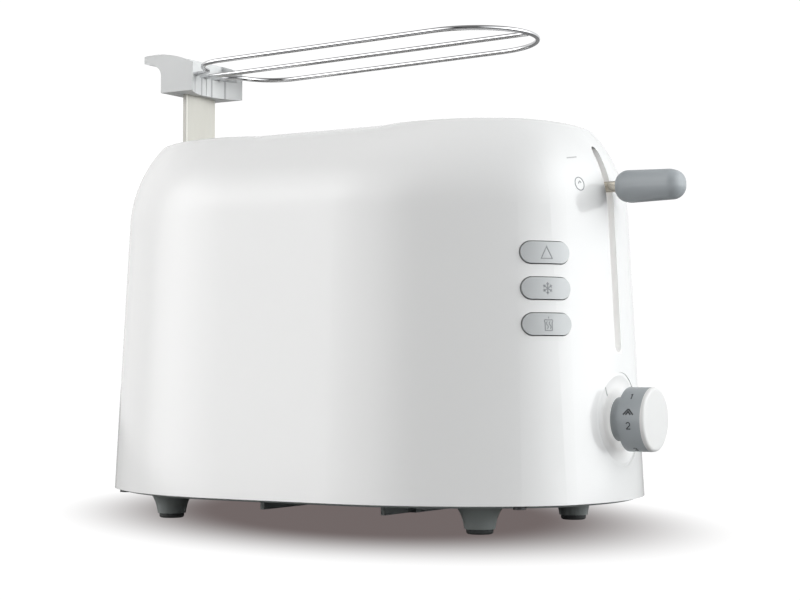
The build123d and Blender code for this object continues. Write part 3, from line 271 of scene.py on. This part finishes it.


# Painted shade for fine upright grooves down the front of the rack's head: the crests of a wave
# across it, darkened.
def shadeGrooveLines(material):
    tree = material.node_tree
    shader = tree.nodes["Principled BSDF"]
    position = addNode(tree, "ShaderNodeTexCoord").outputs["Object"]
    wave = addNode(tree, "ShaderNodeTexWave", {"Scale": rackGrooveShade["scale"]}, bands_direction="Y")
    crest = addNode(tree, "ShaderNodeMapRange", {
        "From Min": rackGrooveShade["crest"][0], "From Max": rackGrooveShade["crest"][1]})
    both = addNode(tree, "ShaderNodeMath", operation="MULTIPLY")
    tree.links.new(position, wave.inputs["Vector"])
    tree.links.new(wave.outputs["Fac"], crest.inputs["Value"])
    tree.links.new(crest.outputs["Result"], both.inputs[0])
    tree.links.new(boxMask(tree, position, rackGrooveShade["box"]), both.inputs[1])
    tone = addNode(tree, "ShaderNodeMix", {7: (*rackGrooveShade["color"], 1.0)}, data_type="RGBA")
    tree.links.new(both.outputs[0], tone.inputs[0])
    tree.links.new(shader.inputs["Base Color"].links[0].from_socket, tone.inputs[6])
    tree.links.new(tone.outputs[2], shader.inputs["Base Color"])


shadeGrooveLines(rackGrey)

footDark = moulding("footDark", {
    "color": (0.27, 0.29, 0.285), "shade": (0.24, 0.26, 0.255),
    "roughness": (0.42, 0.52), "bump": 0.00004,
    "skin": {"Grain Scale": 1200.0, "Wave Scale": 60.0, "Wave Share": 0.3},
    "sockets": {"IOR": 1.5}})
padRubber = moulding("padRubber", {
    "color": (0.045, 0.047, 0.047), "shade": (0.06, 0.062, 0.062),
    "roughness": (0.75, 0.9), "bump": 0.00005,
    "skin": {"Grain Scale": 1500.0, "Wave Scale": 120.0, "Wave Share": 0.4},
    "sockets": {"IOR": 1.5}})
partBlack = moulding("partBlack", {
    "color": (0.03, 0.03, 0.032), "shade": (0.04, 0.04, 0.042),
    "roughness": (0.4, 0.55), "bump": 0.00003,
    "skin": {"Grain Scale": 1600.0, "Wave Scale": 90.0, "Wave Share": 0.3},
    "sockets": {"IOR": 1.5}})
linerEnamel = moulding("linerEnamel", {
    "color": (0.80, 0.79, 0.74), "shade": (0.76, 0.75, 0.70),
    "roughness": (0.22, 0.34), "bump": 0.00003,
    "skin": {"Grain Scale": 700.0, "Wave Scale": 30.0, "Wave Share": 0.6},
    "sockets": {"IOR": 1.5}})
postSteel = brushed("postSteel", {
    "color": (0.50, 0.49, 0.445), "shade": (0.45, 0.44, 0.40),
    "roughness": (0.34, 0.46), "bump": 0.000012,
    "stretch": (5200.0, 5200.0, 60.0), "sockets": {"Metallic": 0.25}})
# Painted shade and highlight on the post's folded front edge: a dark line of painted shade, a
# bright land of painted highlight and a dark line of painted shade again, each a span in Y.
postEdgeShading = {
    "reach": (-0.13, -0.10), "height": (0.15, 0.25),
    "bands": [((-0.0131, -0.0124), (0.40, 0.39, 0.36)), ((-0.0124, -0.0117), (0.74, 0.73, 0.67)),
              ((-0.0117, -0.0113), (0.42, 0.41, 0.38))]}


# Lays a plain colour over a finish inside a box of Object coordinates.
def tintBox(material, box, color):
    tree = material.node_tree
    shader = tree.nodes["Principled BSDF"]
    position = addNode(tree, "ShaderNodeTexCoord").outputs["Object"]
    tone = addNode(tree, "ShaderNodeMix", {7: (*color, 1.0)}, data_type="RGBA")
    tree.links.new(boxMask(tree, position, box), tone.inputs[0])
    tree.links.new(shader.inputs["Base Color"].links[0].from_socket, tone.inputs[6])
    tree.links.new(tone.outputs[2], shader.inputs["Base Color"])


# Paints the shade and highlight bands over the post's finish.
for span, color in postEdgeShading["bands"]:
    tintBox(postSteel, (postEdgeShading["reach"], span, postEdgeShading["height"]), color)

leverSteel = brushed("leverSteel", {
    "color": (0.66, 0.62, 0.54), "shade": (0.56, 0.52, 0.45),
    "roughness": (0.2, 0.34), "bump": 0.000012,
    "stretch": (80.0, 4200.0, 4200.0), "sockets": {"Metallic": 1.0}})
chassisSteel = brushed("chassisSteel", {
    "color": (0.60, 0.60, 0.59), "shade": (0.52, 0.52, 0.51),
    "roughness": (0.25, 0.42), "bump": 0.00002,
    "stretch": (70.0, 2600.0, 2600.0), "sockets": {"Metallic": 1.0}})
screwSteel = brushed("screwSteel", {
    "color": (0.50, 0.50, 0.48), "shade": (0.40, 0.40, 0.385),
    "roughness": (0.25, 0.4), "bump": 0.00001,
    "stretch": (3000.0, 3000.0, 900.0), "sockets": {"Metallic": 1.0}})
# Painted shade: the base's screws are coloured dark to match the shade under the body.
screwShadeDark = brushed("screwShadeDark", {
    "color": (0.10, 0.10, 0.10), "shade": (0.07, 0.07, 0.07),
    "roughness": (0.4, 0.5), "bump": 0.00001,
    "stretch": (3000.0, 3000.0, 900.0), "sockets": {"Metallic": 0.6}})
wireChrome = moulding("wireChrome", {
    "color": (0.66, 0.66, 0.67), "shade": (0.62, 0.62, 0.63),
    "roughness": (0.07, 0.10), "bump": 0.000001,
    "skin": {"Grain Scale": 600.0, "Wave Scale": 60.0, "Wave Share": 0.5},
    "sockets": {"Metallic": 1.0}})
ribbonNichrome = brushed("ribbonNichrome", {
    "color": (0.40, 0.36, 0.33), "shade": (0.27, 0.25, 0.26),
    "roughness": (0.35, 0.5), "bump": 0.00001,
    "stretch": (90.0, 900.0, 2200.0), "sockets": {"Metallic": 1.0}})


micaLook = {
    "color": (0.46, 0.37, 0.25), "shade": (0.60, 0.52, 0.40), "roughness": (0.3, 0.6),
    "bump": 0.00003, "flakes": 240.0, "sockets": {"IOR": 1.55, "Specular IOR Level": 0.6}}


# Pressed mica: warm flakes in a cell pattern.
def layeredMica(name):
    material, tree, shader, position = startFinish(name, micaLook)
    flakes = addNode(tree, "ShaderNodeTexVoronoi", {"Scale": micaLook["flakes"], "Randomness": 1.0})
    tree.links.new(position, flakes.inputs["Vector"])
    followPattern(tree, shader, micaLook, flakes.outputs["Distance"], flakes.outputs["Distance"])
    return material


boardLook = {
    "color": (0.015, 0.13, 0.05), "shade": (0.06, 0.26, 0.09), "roughness": (0.25, 0.4),
    "bump": 0.00003, "grid": 160.0, "run": 0.012, "sockets": {"IOR": 1.5, "Coat Weight": 0.3}}


# Green lacquered board with copper runs showing as a lighter green grid of lines.
def solderBoard(name):
    material, tree, shader, position = startFinish(name, boardLook)
    runs = addNode(tree, "ShaderNodeTexBrick", {
        "Scale": boardLook["grid"], "Mortar Size": boardLook["run"],
        "Color1": (0, 0, 0, 1), "Color2": (0, 0, 0, 1), "Mortar": (1, 1, 1, 1)})
    turned = addNode(tree, "ShaderNodeMapping", {"Rotation": (radians(90), 0, radians(90))})
    tree.links.new(position, turned.inputs["Vector"])
    tree.links.new(turned.outputs["Vector"], runs.inputs["Vector"])
    followPattern(tree, shader, boardLook, runs.outputs["Fac"], runs.outputs["Fac"])
    return material


windingLook = {
    "color": (0.30, 0.12, 0.06), "shade": (0.62, 0.28, 0.13), "roughness": (0.35, 0.2),
    "bump": 0.0001, "turns": 420.0, "wander": 0.4, "sockets": {"Metallic": 1.0}}


# Enamelled copper wire wound in rings along Z: a fine wave gives its turns.
def woundCopper(name):
    material, tree, shader, position = startFinish(name, windingLook)
    turns = addNode(tree, "ShaderNodeTexWave", {
        "Scale": windingLook["turns"], "Distortion": windingLook["wander"]}, bands_direction="Z")
    tree.links.new(position, turns.inputs["Vector"])
    followPattern(tree, shader, windingLook, turns.outputs["Fac"], turns.outputs["Fac"])
    return material


inkLook = {
    "speckle": 2600.0, "paler": 1.25, "lift": 0.01, "roughness": (0.4, 0.55),
    "sockets": {"IOR": 1.45}}


# Printed ink: a thin film, a little broken up in colour and gloss.
def padPrint(name, color):
    material, tree, shader, position = startFinish(name, inkLook)
    speckle = addNode(tree, "ShaderNodeTexNoise", {"Scale": inkLook["speckle"], "Detail": 2.0})
    pale = [min(1.0, part * inkLook["paler"] + inkLook["lift"]) for part in color]
    tree.links.new(position, speckle.inputs["Vector"])
    tintInto(tree, speckle.outputs["Fac"], color, pale, shader.inputs["Base Color"])
    spreadInto(tree, speckle.outputs["Fac"], *inkLook["roughness"], shader.inputs["Roughness"])
    return material


mica = layeredMica("mica")
boardGreen = solderBoard("boardGreen")
copperCoil = woundCopper("copperCoil")
printGrey = padPrint("printGrey", (0.25, 0.26, 0.27))
printDark = padPrint("printDark", (0.055, 0.06, 0.065))
printPale = padPrint("printPale", (0.42, 0.42, 0.42))

finishOfSlot = {
    "shell_white": shellGloss, "base_grey": footDark, "pad_rubber": padRubber,
    "lever_grey": gripGrey, "button_silver": buttonSilver, "rack_grey": rackGrey,
    "chrome_wire": wireChrome, "post_steel": postSteel, "liner_cream": linerEnamel,
    "chassis_steel": chassisSteel, "mica": mica, "heater_ribbon": ribbonNichrome,
    "board_green": boardGreen, "part_black": partBlack, "coil_copper": copperCoil,
    "screw_steel": screwSteel}
finishOfNode = {"knob_cap": capWhite, "lever_arm": leverSteel, "base_screws": screwShadeDark}
for entry in frame["record"]["subparts"]:
    name = entry["node"]
    material = finishOfNode.get(name, finishOfSlot[entry["material_slot"]])
    for materialSlot in frame["nodes"][name].material_slots:
        materialSlot.material = material
print("finishes laid on the frame")

# The lever's joint, the body that the coil stands on, and the lever's way down in metres.
springSeat = {"joint": "lever_slide", "body": "housing", "travel": 0.075}


# The return coil stands on its bracket: a copy with its own mesh takes the drawn coil's place on
# the seat's body.
def seatSpring():
    drawn = bpy.data.objects["return_spring"]
    coil = drawn.copy()
    coil.data = drawn.data.copy()
    coil.name = "springCoil"
    bpy.context.scene.collection.objects.link(coil)
    bpy.context.view_layer.update()
    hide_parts("return_spring")
    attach(coil, springSeat["body"])
    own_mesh(coil)


seatSpring()

# The body's outside, in mm: a leaning wall round arcs, with a rounded crown on top.
bodyShape = {
    "foot": 14.5, "lean": tan(radians(2.96)), "crownStart": 153.5, "crown": 63.5,
    "cornerCentre": (81.70, 15.45), "cornerRadius": 59.0, "endCentre": 43.45, "endRadius": 100.25}


# How far the end's wall stands in from its foot: the lean, and over the crown's start its arc too.
def bodyInset(height):
    rise = np.maximum(height - bodyShape["crownStart"], 0.0)
    rounding = bodyShape["crown"] - np.sqrt(bodyShape["crown"] ** 2 - rise ** 2)
    return bodyShape["lean"] * (height - bodyShape["foot"]) + rounding


# Places flat (u, v) in mm on the body's end: u runs round the end arc and v up it.
def onEnd(bearing, middle):
    def place(u, v, lift):
        height = middle + v
        radius = bodyShape["endRadius"] - bodyInset(height) + lift
        angle = radians(bearing) + u / (bodyShape["endRadius"] - bodyInset(middle))
        x = bodyShape["endCentre"] + radius * np.cos(angle)
        return np.stack([x, radius * np.sin(angle), height], -1)
    return place


# Places flat (u, v) on a button's leaning face: a cone round the front corner's centre.
def onButton(bearing, middle, proud):
    def place(u, v, lift):
        height = middle + v
        inset = bodyShape["lean"] * (height - bodyShape["foot"])
        radius = bodyShape["cornerRadius"] + proud - inset + lift
        angle = radians(bearing) + u / bodyShape["cornerRadius"]
        centreX, centreY = bodyShape["cornerCentre"]
        x, y = centreX + radius * np.cos(angle), -centreY + radius * np.sin(angle)
        return np.stack([x, y, height], -1)
    return place


# Places flat (u, v) on the dial's drum: u along X, v round it from the turn, in degrees up from -Y.
def onDrum(axisZ, radius, middleX, turn):
    def place(u, v, lift):
        angle = radians(turn) + v / radius
        reach = radius + lift
        return np.stack([middleX + u, -reach * np.cos(angle), axisZ + reach * np.sin(angle)], -1)
    return place


# Places (u, v) in the hollow behind the dial, v out from its middle and u across: the floor is an
# arc up and down, swept round an upright axis in front of it.
def onHollow(axisZ, hollow, turn):
    def place(u, v, lift):
        away, side = radians(turn), radians(turn + 90)
        y = -(v * cos(away) + u * cos(side))
        z = axisZ + v * sin(away) + u * sin(side)
        arcX = hollow["arcX"] - np.sqrt(hollow["arc"] ** 2 - (z - hollow["arcZ"]) ** 2)
        x = hollow["axisX"] - np.sqrt((hollow["axisX"] - arcX) ** 2 - y ** 2) + lift
        return np.stack([x, y, z], -1)
    return place


# Points on an arc, degrees counterclockwise from +u.
def arc(centreU, centreV, radius, start, end, count):
    angle = np.radians(np.linspace(start, end, count))
    return np.stack([centreU + radius * np.cos(angle), centreV + radius * np.sin(angle)], -1)


# How printed strips are made, in mm: how far each stands over and under the surface, the longest
# step along it, and the least cosine that a mitre is widened by.
stripLook = {"thickness": 0.09, "step": 0.4, "mitre": 0.5}


# Each row of an array brought to length one.
def unit(rows):
    return rows / np.linalg.norm(rows, axis=1, keepdims=True)


# A thin raised strip: at each point of a flat line, a ring of four corners stands half a width to
# each side along the mitre, below and above the surface; rings are joined by quads.
def stripMesh(line, width, closed, place):
    line = np.asarray(line, float)
    before = np.roll(line, 1, 0)
    after = np.roll(line, -1, 0)
    if not closed:
        before[0] = 2 * line[0] - line[1]
        after[-1] = 2 * line[-1] - line[-2]
    inward, outward = unit(line - before), unit(after - line)
    normal = unit(inward + outward)[:, ::-1] * (-1, 1)
    reach = np.clip(np.sum(normal * (inward[:, ::-1] * (-1, 1)), 1), stripLook["mitre"], 1.0)
    step = normal * (width / 2 / reach)[:, None]
    low, high = -stripLook["thickness"], stripLook["thickness"]
    corners = ((line + step, low), (line + step, high), (line - step, high), (line - step, low))
    ring = np.stack([place(side[:, 0], side[:, 1], lift) for side, lift in corners], 1)
    count = len(line)
    first = np.arange(count if closed else count - 1)
    second = (first + 1) % count
    side = np.arange(4)
    onward = (side + 1) % 4
    here, there = first[:, None] * 4, second[:, None] * 4
    quads = np.stack([here + side, there + side, there + onward, here + onward], -1).reshape(-1, 4)
    if not closed:
        ends = np.array([side, 4 * count - 1 - side])
        quads = np.concatenate([quads, ends])
    return ring.reshape(-1, 3), quads


# A mesh object at the origin from points in mm; faces are turned outwards.
def makeMesh(name, points, faces, material):
    mesh = bpy.data.meshes.new(name)
    mesh.from_pydata((points * mm).tolist(), [], faces.tolist())
    mesh.materials.append(material)
    mesh.update()
    shape = bpy.data.objects.new(name, mesh)
    bpy.context.scene.collection.objects.link(shape)
    bpy.context.view_layer.objects.active = shape
    shape.select_set(True)
    bpy.ops.object.mode_set(mode="EDIT")
    bpy.ops.mesh.select_all(action="SELECT")
    bpy.ops.mesh.normals_make_consistent(inside=False)
    bpy.ops.object.mode_set(mode="OBJECT")
    shape.select_set(False)
    return shape


# Adds points along a flat line, so that no step of it is longer than the given one.
def refine(line, closed, step):
    line = np.asarray(line, float)
    ends = np.roll(line, -1, 0) if closed else line[1:]
    runs = []
    for start, end in zip(line, ends):
        count = max(1, int(np.ceil(np.linalg.norm(end - start) / step)))
        runs.append(start + (end - start) * np.linspace(0, 1, count, endpoint=False)[:, None])
    if not closed:
        runs.append(line[-1:])
    return np.concatenate(runs)


# Joins strokes, each (line, closed), into one printed piece that rides on a body.
def printOn(name, strokes, width, place, material, body):
    points, faces, offset = [], [], 0
    for line, closed in strokes:
        line = refine(line, closed, stripLook["step"])
        ringPoints, quads = stripMesh(line, width, closed, place)
        points.append(ringPoints)
        faces.append(quads + offset)
        offset += len(ringPoints)
    shape = makeMesh(name, np.concatenate(points), np.concatenate(faces), material)
    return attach(shape, body)


buttonMarks = {
    "bearing": -35.4, "proud": 0.9, "line": 0.42, "middle": 114.0, "pitch": 16.6, "size": 5.6}


# An outlined triangle, point up.
def triangleMark(size):
    return [(np.array([(-0.56, -0.5), (0.56, -0.5), (0.0, 0.5)]) * size, True)]


# A step of length one at an angle in degrees from +u.
def heading(turn):
    return np.array([cos(radians(turn)), sin(radians(turn))])


snowShape = {"arm": 0.5, "hub": 0.04, "forkAt": 0.58, "forkTurn": 48, "fork": 0.16}


# Six arms, each with a small fork near its end.
def snowMark(size):
    strokes = []
    for turn in range(30, 390, 60):
        tip = heading(turn) * size * snowShape["arm"]
        strokes.append((np.array([tip * snowShape["hub"], tip]), False))
        root = tip * snowShape["forkAt"]
        for side in (-1, 1):
            aside = heading(turn + side * snowShape["forkTurn"]) * size * snowShape["fork"]
            strokes.append((np.array([root, root + aside]), False))
    return strokes


# A slice's half width, foot and shoulder, as shares of the mark's size; then its sides, lobes and
# rounding and the waves' place, as shares of the half width; the rest as shares of the size again.
toastShape = {
    "half": 0.4, "low": -0.52, "shoulder": 0.26, "side": 0.86, "lobe": 0.72, "rounding": 0.3,
    "waveAside": 0.34, "waveFoot": 0.7, "waveSwing": 0.09, "waveRise": 0.58, "stroke": (0.46, 0.62)}


# A slice of toast with two rising waves in it, and a short stroke over it.
def toastMark(size):
    half, low, shoulder = [size * toastShape[part] for part in ("half", "low", "shoulder")]
    side, lobe, rounding = [half * toastShape[part] for part in ("side", "lobe", "rounding")]
    outline = np.concatenate([
        np.array([(-side, low), (side, low), (side, shoulder - rounding)]),
        arc(lobe, shoulder, rounding, -40, 130, 7),
        arc(-lobe, shoulder, rounding, 50, 220, 7),
        np.array([(-side, shoulder - rounding)])])
    rise = np.linspace(0, 1, 13)
    swing = toastShape["waveSwing"] * size * np.sin(rise * 2 * pi)
    climb = low * toastShape["waveFoot"] + rise * size * toastShape["waveRise"]
    waves = [(np.stack([turn * half * toastShape["waveAside"] + swing, climb], -1), False)
             for turn in (-1, 1)]
    stroke = np.array([(0, size * height) for height in toastShape["stroke"]])
    return [(outline, True), *waves, (stroke, False)]


symbols = [("top", 1, triangleMark), ("middle", 0, snowMark), ("bottom", -1, toastMark)]
for name, step, mark in symbols:
    middle = buttonMarks["middle"] + step * buttonMarks["pitch"] * cos(np.arctan(bodyShape["lean"]))
    printOn(f"mark_{name}", mark(buttonMarks["size"]), buttonMarks["line"],
            onButton(buttonMarks["bearing"], middle, buttonMarks["proud"]), printGrey,
            f"{name}_button")

# The dial's figures, each a few strokes in a box one high and about two thirds wide.
figureStrokes = {
    "1": [[(-0.16, 0.26), (0.04, 0.5)], [(0.04, 0.5), (0.04, -0.5)]],
    "2": [np.concatenate([arc(0, 0.2, 0.28, 165, -35, 12), [(-0.3, -0.46)]]),
          [(-0.3, -0.46), (0.32, -0.46)]],
    "3": [np.concatenate([arc(0, 0.24, 0.24, 150, -80, 12), arc(0, -0.22, 0.28, 80, -150, 12)])],
    "4": [[(0.12, -0.5), (0.12, 0.5)], [(0.12, 0.5), (-0.3, -0.18)],
          [(-0.3, -0.18), (0.32, -0.18)]],
    "5": [np.concatenate([[(0.26, 0.48), (-0.2, 0.48), (-0.24, 0.06)],
                          arc(0, -0.18, 0.3, 120, -150, 14)])],
    "6": [np.concatenate([[(0.16, 0.5)], arc(0.26, -0.1, 0.54, 125, 175, 6)]),
          arc(0, -0.2, 0.28, 0, 345, 20)]}
# The drum's axis, radius and middle in mm; the first figure's turn and the step to the next in
# degrees; then the figures' height and strokes, and the symbol's turn, stroke and lines.
dialMarks = {
    "axisZ": 53.0, "radius": 15.3, "middleX": 151.6, "first": 46.0, "pitch": -56.0,
    "height": 3.3, "line": 0.5, "symbolTurn": 14.0, "symbolLine": 0.75,
    "symbol": [[(-2.5, -1.2), (-0.3, 1.3), (0.3, 1.3), (2.5, -1.2)],
               [(-1.2, -1.2), (0.0, 0.3), (1.2, -1.2)]]}


# Places flat (u, v) on the drum, turned by so many degrees.
def onDial(turn):
    return onDrum(dialMarks["axisZ"], dialMarks["radius"], dialMarks["middleX"], turn)


for index, (figure, lines) in enumerate(figureStrokes.items()):
    turn = dialMarks["first"] + index * dialMarks["pitch"]
    strokes = [(np.asarray(line, float) * dialMarks["height"], False) for line in lines]
    printOn(f"figure_{figure}", strokes, dialMarks["line"], onDial(turn), printDark, "knob")
printOn("mark_dial", [(np.array(line), False) for line in dialMarks["symbol"]],
        dialMarks["symbolLine"], onDial(dialMarks["symbolTurn"]), printDark, "knob")

# The hollow's floor in mm: the radius and middle of its arc, and the upright axis that it turns
# round; then the pointer's turn in degrees, its width and its ends.
hollowMark = {
    "arc": 73.0, "arcX": 211.22, "arcZ": 56.59, "axisX": 408.31, "turn": 48.0, "line": 0.8,
    "near": 15.0, "far": 20.6}
printOn("mark_pointer", [(np.array([(0, hollowMark["near"]), (0, hollowMark["far"])]), False)],
        hollowMark["line"], onHollow(dialMarks["axisZ"], hollowMark, hollowMark["turn"]),
        printPale, "housing")

liftMark = {
    "bearing": -16.0, "middle": 176.75, "line": 0.55,
    "stroke": [(-3.6, -0.55), (-1.8, -0.25), (1.8, 0.25), (3.6, 0.55)]}
printOn("mark_lift", [(np.array(liftMark["stroke"]), False)], liftMark["line"],
        onEnd(liftMark["bearing"], liftMark["middle"]), printPale, "housing")

ringMark = {
    "bearing": -15.5, "middle": 164.0, "line": 0.42, "radius": 3.1,
    "stroke": [(-0.9, 0.1), (0.2, 1.3), (1.2, 0.6)]}
printOn("mark_ring", [(arc(0, 0, ringMark["radius"], 0, 350, 36), True),
                      (np.array(ringMark["stroke"]), False)], ringMark["line"],
        onEnd(ringMark["bearing"], ringMark["middle"]), printGrey, "housing")
print("marks printed")

floorLook = {
    "half": 9.0, "white": 1.06, "dark": (0.165, 0.137, 0.134), "bounce": 0.3,
    "middle": (-0.0214, 0.0339, 0.0), "turn": -0.743, "reach": (0.1352, 0.0795, 1.0), "fade": 2.247}


# A plain floor. The camera sees it white with a soft brownish shadow: an ellipse turned about its
# middle, dark out to one reach and fading to white by the fade. What it gives back to the object is
# a plain grey.
def buildFloor():
    half = floorLook["half"] / mm
    corners = np.array([(-half, -half, 0), (half, -half, 0), (half, half, 0), (-half, half, 0)])
    material = bpy.data.materials.new("studioPaper")
    floor = makeMesh("studioFloor", corners, np.array([(0, 1, 2, 3)]), material)
    material.use_nodes = True
    tree = material.node_tree
    tree.nodes.clear()
    place = addNode(tree, "ShaderNodeTexCoord")
    ellipse = addNode(tree, "ShaderNodeMapping", {
        "Location": floorLook["middle"], "Rotation": (0, 0, floorLook["turn"]),
        "Scale": floorLook["reach"]}, vector_type="TEXTURE")
    away = addNode(tree, "ShaderNodeVectorMath", operation="LENGTH")
    fade = addNode(tree, "ShaderNodeMapRange", {"From Min": 1.0, "From Max": floorLook["fade"]},
                   interpolation_type="SMOOTHSTEP")
    tone = addNode(tree, "ShaderNodeMix", {
        6: (*floorLook["dark"], 1), 7: (floorLook["white"],) * 3 + (1,)}, data_type="RGBA")
    tone.clamp_result = False
    seen = addNode(tree, "ShaderNodeEmission")
    paper = addNode(tree, "ShaderNodeBsdfDiffuse", {"Color": (floorLook["bounce"],) * 3 + (1,)})
    path = addNode(tree, "ShaderNodeLightPath")
    either = addNode(tree, "ShaderNodeMixShader")
    out = addNode(tree, "ShaderNodeOutputMaterial")
    tree.links.new(place.outputs["Object"], ellipse.inputs["Vector"])
    tree.links.new(ellipse.outputs["Vector"], away.inputs[0])
    tree.links.new(away.outputs["Value"], fade.inputs["Value"])
    tree.links.new(fade.outputs["Result"], tone.inputs[0])
    tree.links.new(tone.outputs[2], seen.inputs["Color"])
    tree.links.new(path.outputs["Is Camera Ray"], either.inputs[0])
    tree.links.new(paper.outputs[0], either.inputs[1])
    tree.links.new(seen.outputs[0], either.inputs[2])
    tree.links.new(either.outputs[0], out.inputs["Surface"])


# The walls' brightness by compass bearing, in degrees counterclockwise from +X; the ceiling's, and
# how far up the walls fade into it; a cool tint over a share of the round; the white behind it all.
studio = {
    "walls": [(-180, 1.0), (-175, 1.2), (-165, 2.5), (-155, 3.6), (-145, 3.95), (-135, 4.1),
              (-125, 3.7), (-115, 2.45), (-105, 2.1), (-95, 1.1), (-85, 0.0), (-45, 0.1),
              (-35, 0.95), (-25, 1.55), (-15, 2.25), (-5, 3.05), (5, 3.9), (15, 4.5), (25, 4.6),
              (35, 3.95), (45, 3.1), (55, 2.2), (65, 1.3), (75, 1.1), (95, 0.88), (115, 0.85),
              (145, 0.8), (180, 1.0)],
    "ceiling": 0.35, "ceilingFrom": 0.45, "ceilingTo": 0.8,
    "cool": (0.975, 0.992, 1.0), "coolFrom": 0.36, "coolTo": 0.8, "backdrop": 1.05}


# A linear ramp whose stops are (place from 0 to 1, brightness), brightness divided by the scale.
def rampFrom(tree, stops, scale):
    ramp = addNode(tree, "ShaderNodeValToRGB")
    elements = ramp.color_ramp.elements
    elements[0].position, elements[1].position = stops[0][0], stops[-1][0]
    for place, _ in stops[1:-1]:
        elements.new(place)
    for element, (place, bright) in zip(elements, stops):
        tint = studio["cool"] if studio["coolFrom"] < place < studio["coolTo"] else (1.0, 1.0, 1.0)
        element.color = (*[bright / scale * part for part in tint], 1.0)
    return ramp


# Studio walls as light: brightness follows the compass bearing, and fades to an even ceiling.
def buildWorld():
    world = bpy.data.worlds.new("studioLight")
    bpy.context.scene.world = world
    world.use_nodes = True
    tree = world.node_tree
    tree.nodes.clear()
    place = addNode(tree, "ShaderNodeTexCoord")
    axes = addNode(tree, "ShaderNodeSeparateXYZ")
    bearing = addNode(tree, "ShaderNodeMath", operation="ARCTAN2")
    turn = addNode(tree, "ShaderNodeMapRange", {"From Min": -pi, "From Max": pi})
    tree.links.new(place.outputs["Generated"], axes.inputs[0])
    tree.links.new(axes.outputs["Y"], bearing.inputs[0])
    tree.links.new(axes.outputs["X"], bearing.inputs[1])
    tree.links.new(bearing.outputs[0], turn.inputs["Value"])
    scale = max(bright for _, bright in studio["walls"])
    stops = [((angle + 180) / 360, bright) for angle, bright in studio["walls"]]
    walls = rampFrom(tree, stops, scale)
    tree.links.new(turn.outputs["Result"], walls.inputs["Fac"])
    height = addNode(tree, "ShaderNodeMapRange", {
        "From Min": studio["ceilingFrom"], "From Max": studio["ceilingTo"]})
    tree.links.new(axes.outputs["Z"], height.inputs["Value"])
    ceiling = (studio["ceiling"] / scale,) * 3 + (1,)
    blend = addNode(tree, "ShaderNodeMix", {7: ceiling}, data_type="RGBA")
    tree.links.new(height.outputs["Result"], blend.inputs[0])
    tree.links.new(walls.outputs["Color"], blend.inputs[6])
    light = addNode(tree, "ShaderNodeBackground", {"Strength": scale})
    tree.links.new(blend.outputs[2], light.inputs["Color"])
    paper = addNode(tree, "ShaderNodeBackground", {
        "Color": (1, 1, 1, 1), "Strength": studio["backdrop"]})
    path = addNode(tree, "ShaderNodeLightPath")
    either = addNode(tree, "ShaderNodeMixShader")
    out = addNode(tree, "ShaderNodeOutputWorld")
    tree.links.new(path.outputs["Is Camera Ray"], either.inputs[0])
    tree.links.new(light.outputs[0], either.inputs[1])
    tree.links.new(paper.outputs[0], either.inputs[2])
    tree.links.new(either.outputs[0], out.inputs["Surface"])


camera = {
    "place": (0.50059, -0.78411, 0.07534), "turn": 31.6427, "tilt": 2.3086, "lens": 80.647,
    "sensor": 36.0}


# The viewpoint: low, in front of the lever's end, looking a little up.
def buildCamera():
    data = bpy.data.cameras.new("viewpoint")
    data.lens = camera["lens"]
    data.sensor_width = camera["sensor"]
    seat = bpy.data.objects.new("viewpoint", data)
    seat.location = camera["place"]
    seat.rotation_euler = (radians(90 + camera["tilt"]), 0, radians(camera["turn"]))
    bpy.context.scene.collection.objects.link(seat)
    bpy.context.scene.camera = seat


buildFloor()
buildWorld()
buildCamera()
bpy.context.scene.view_settings.view_transform = "Standard"
print("studio built")
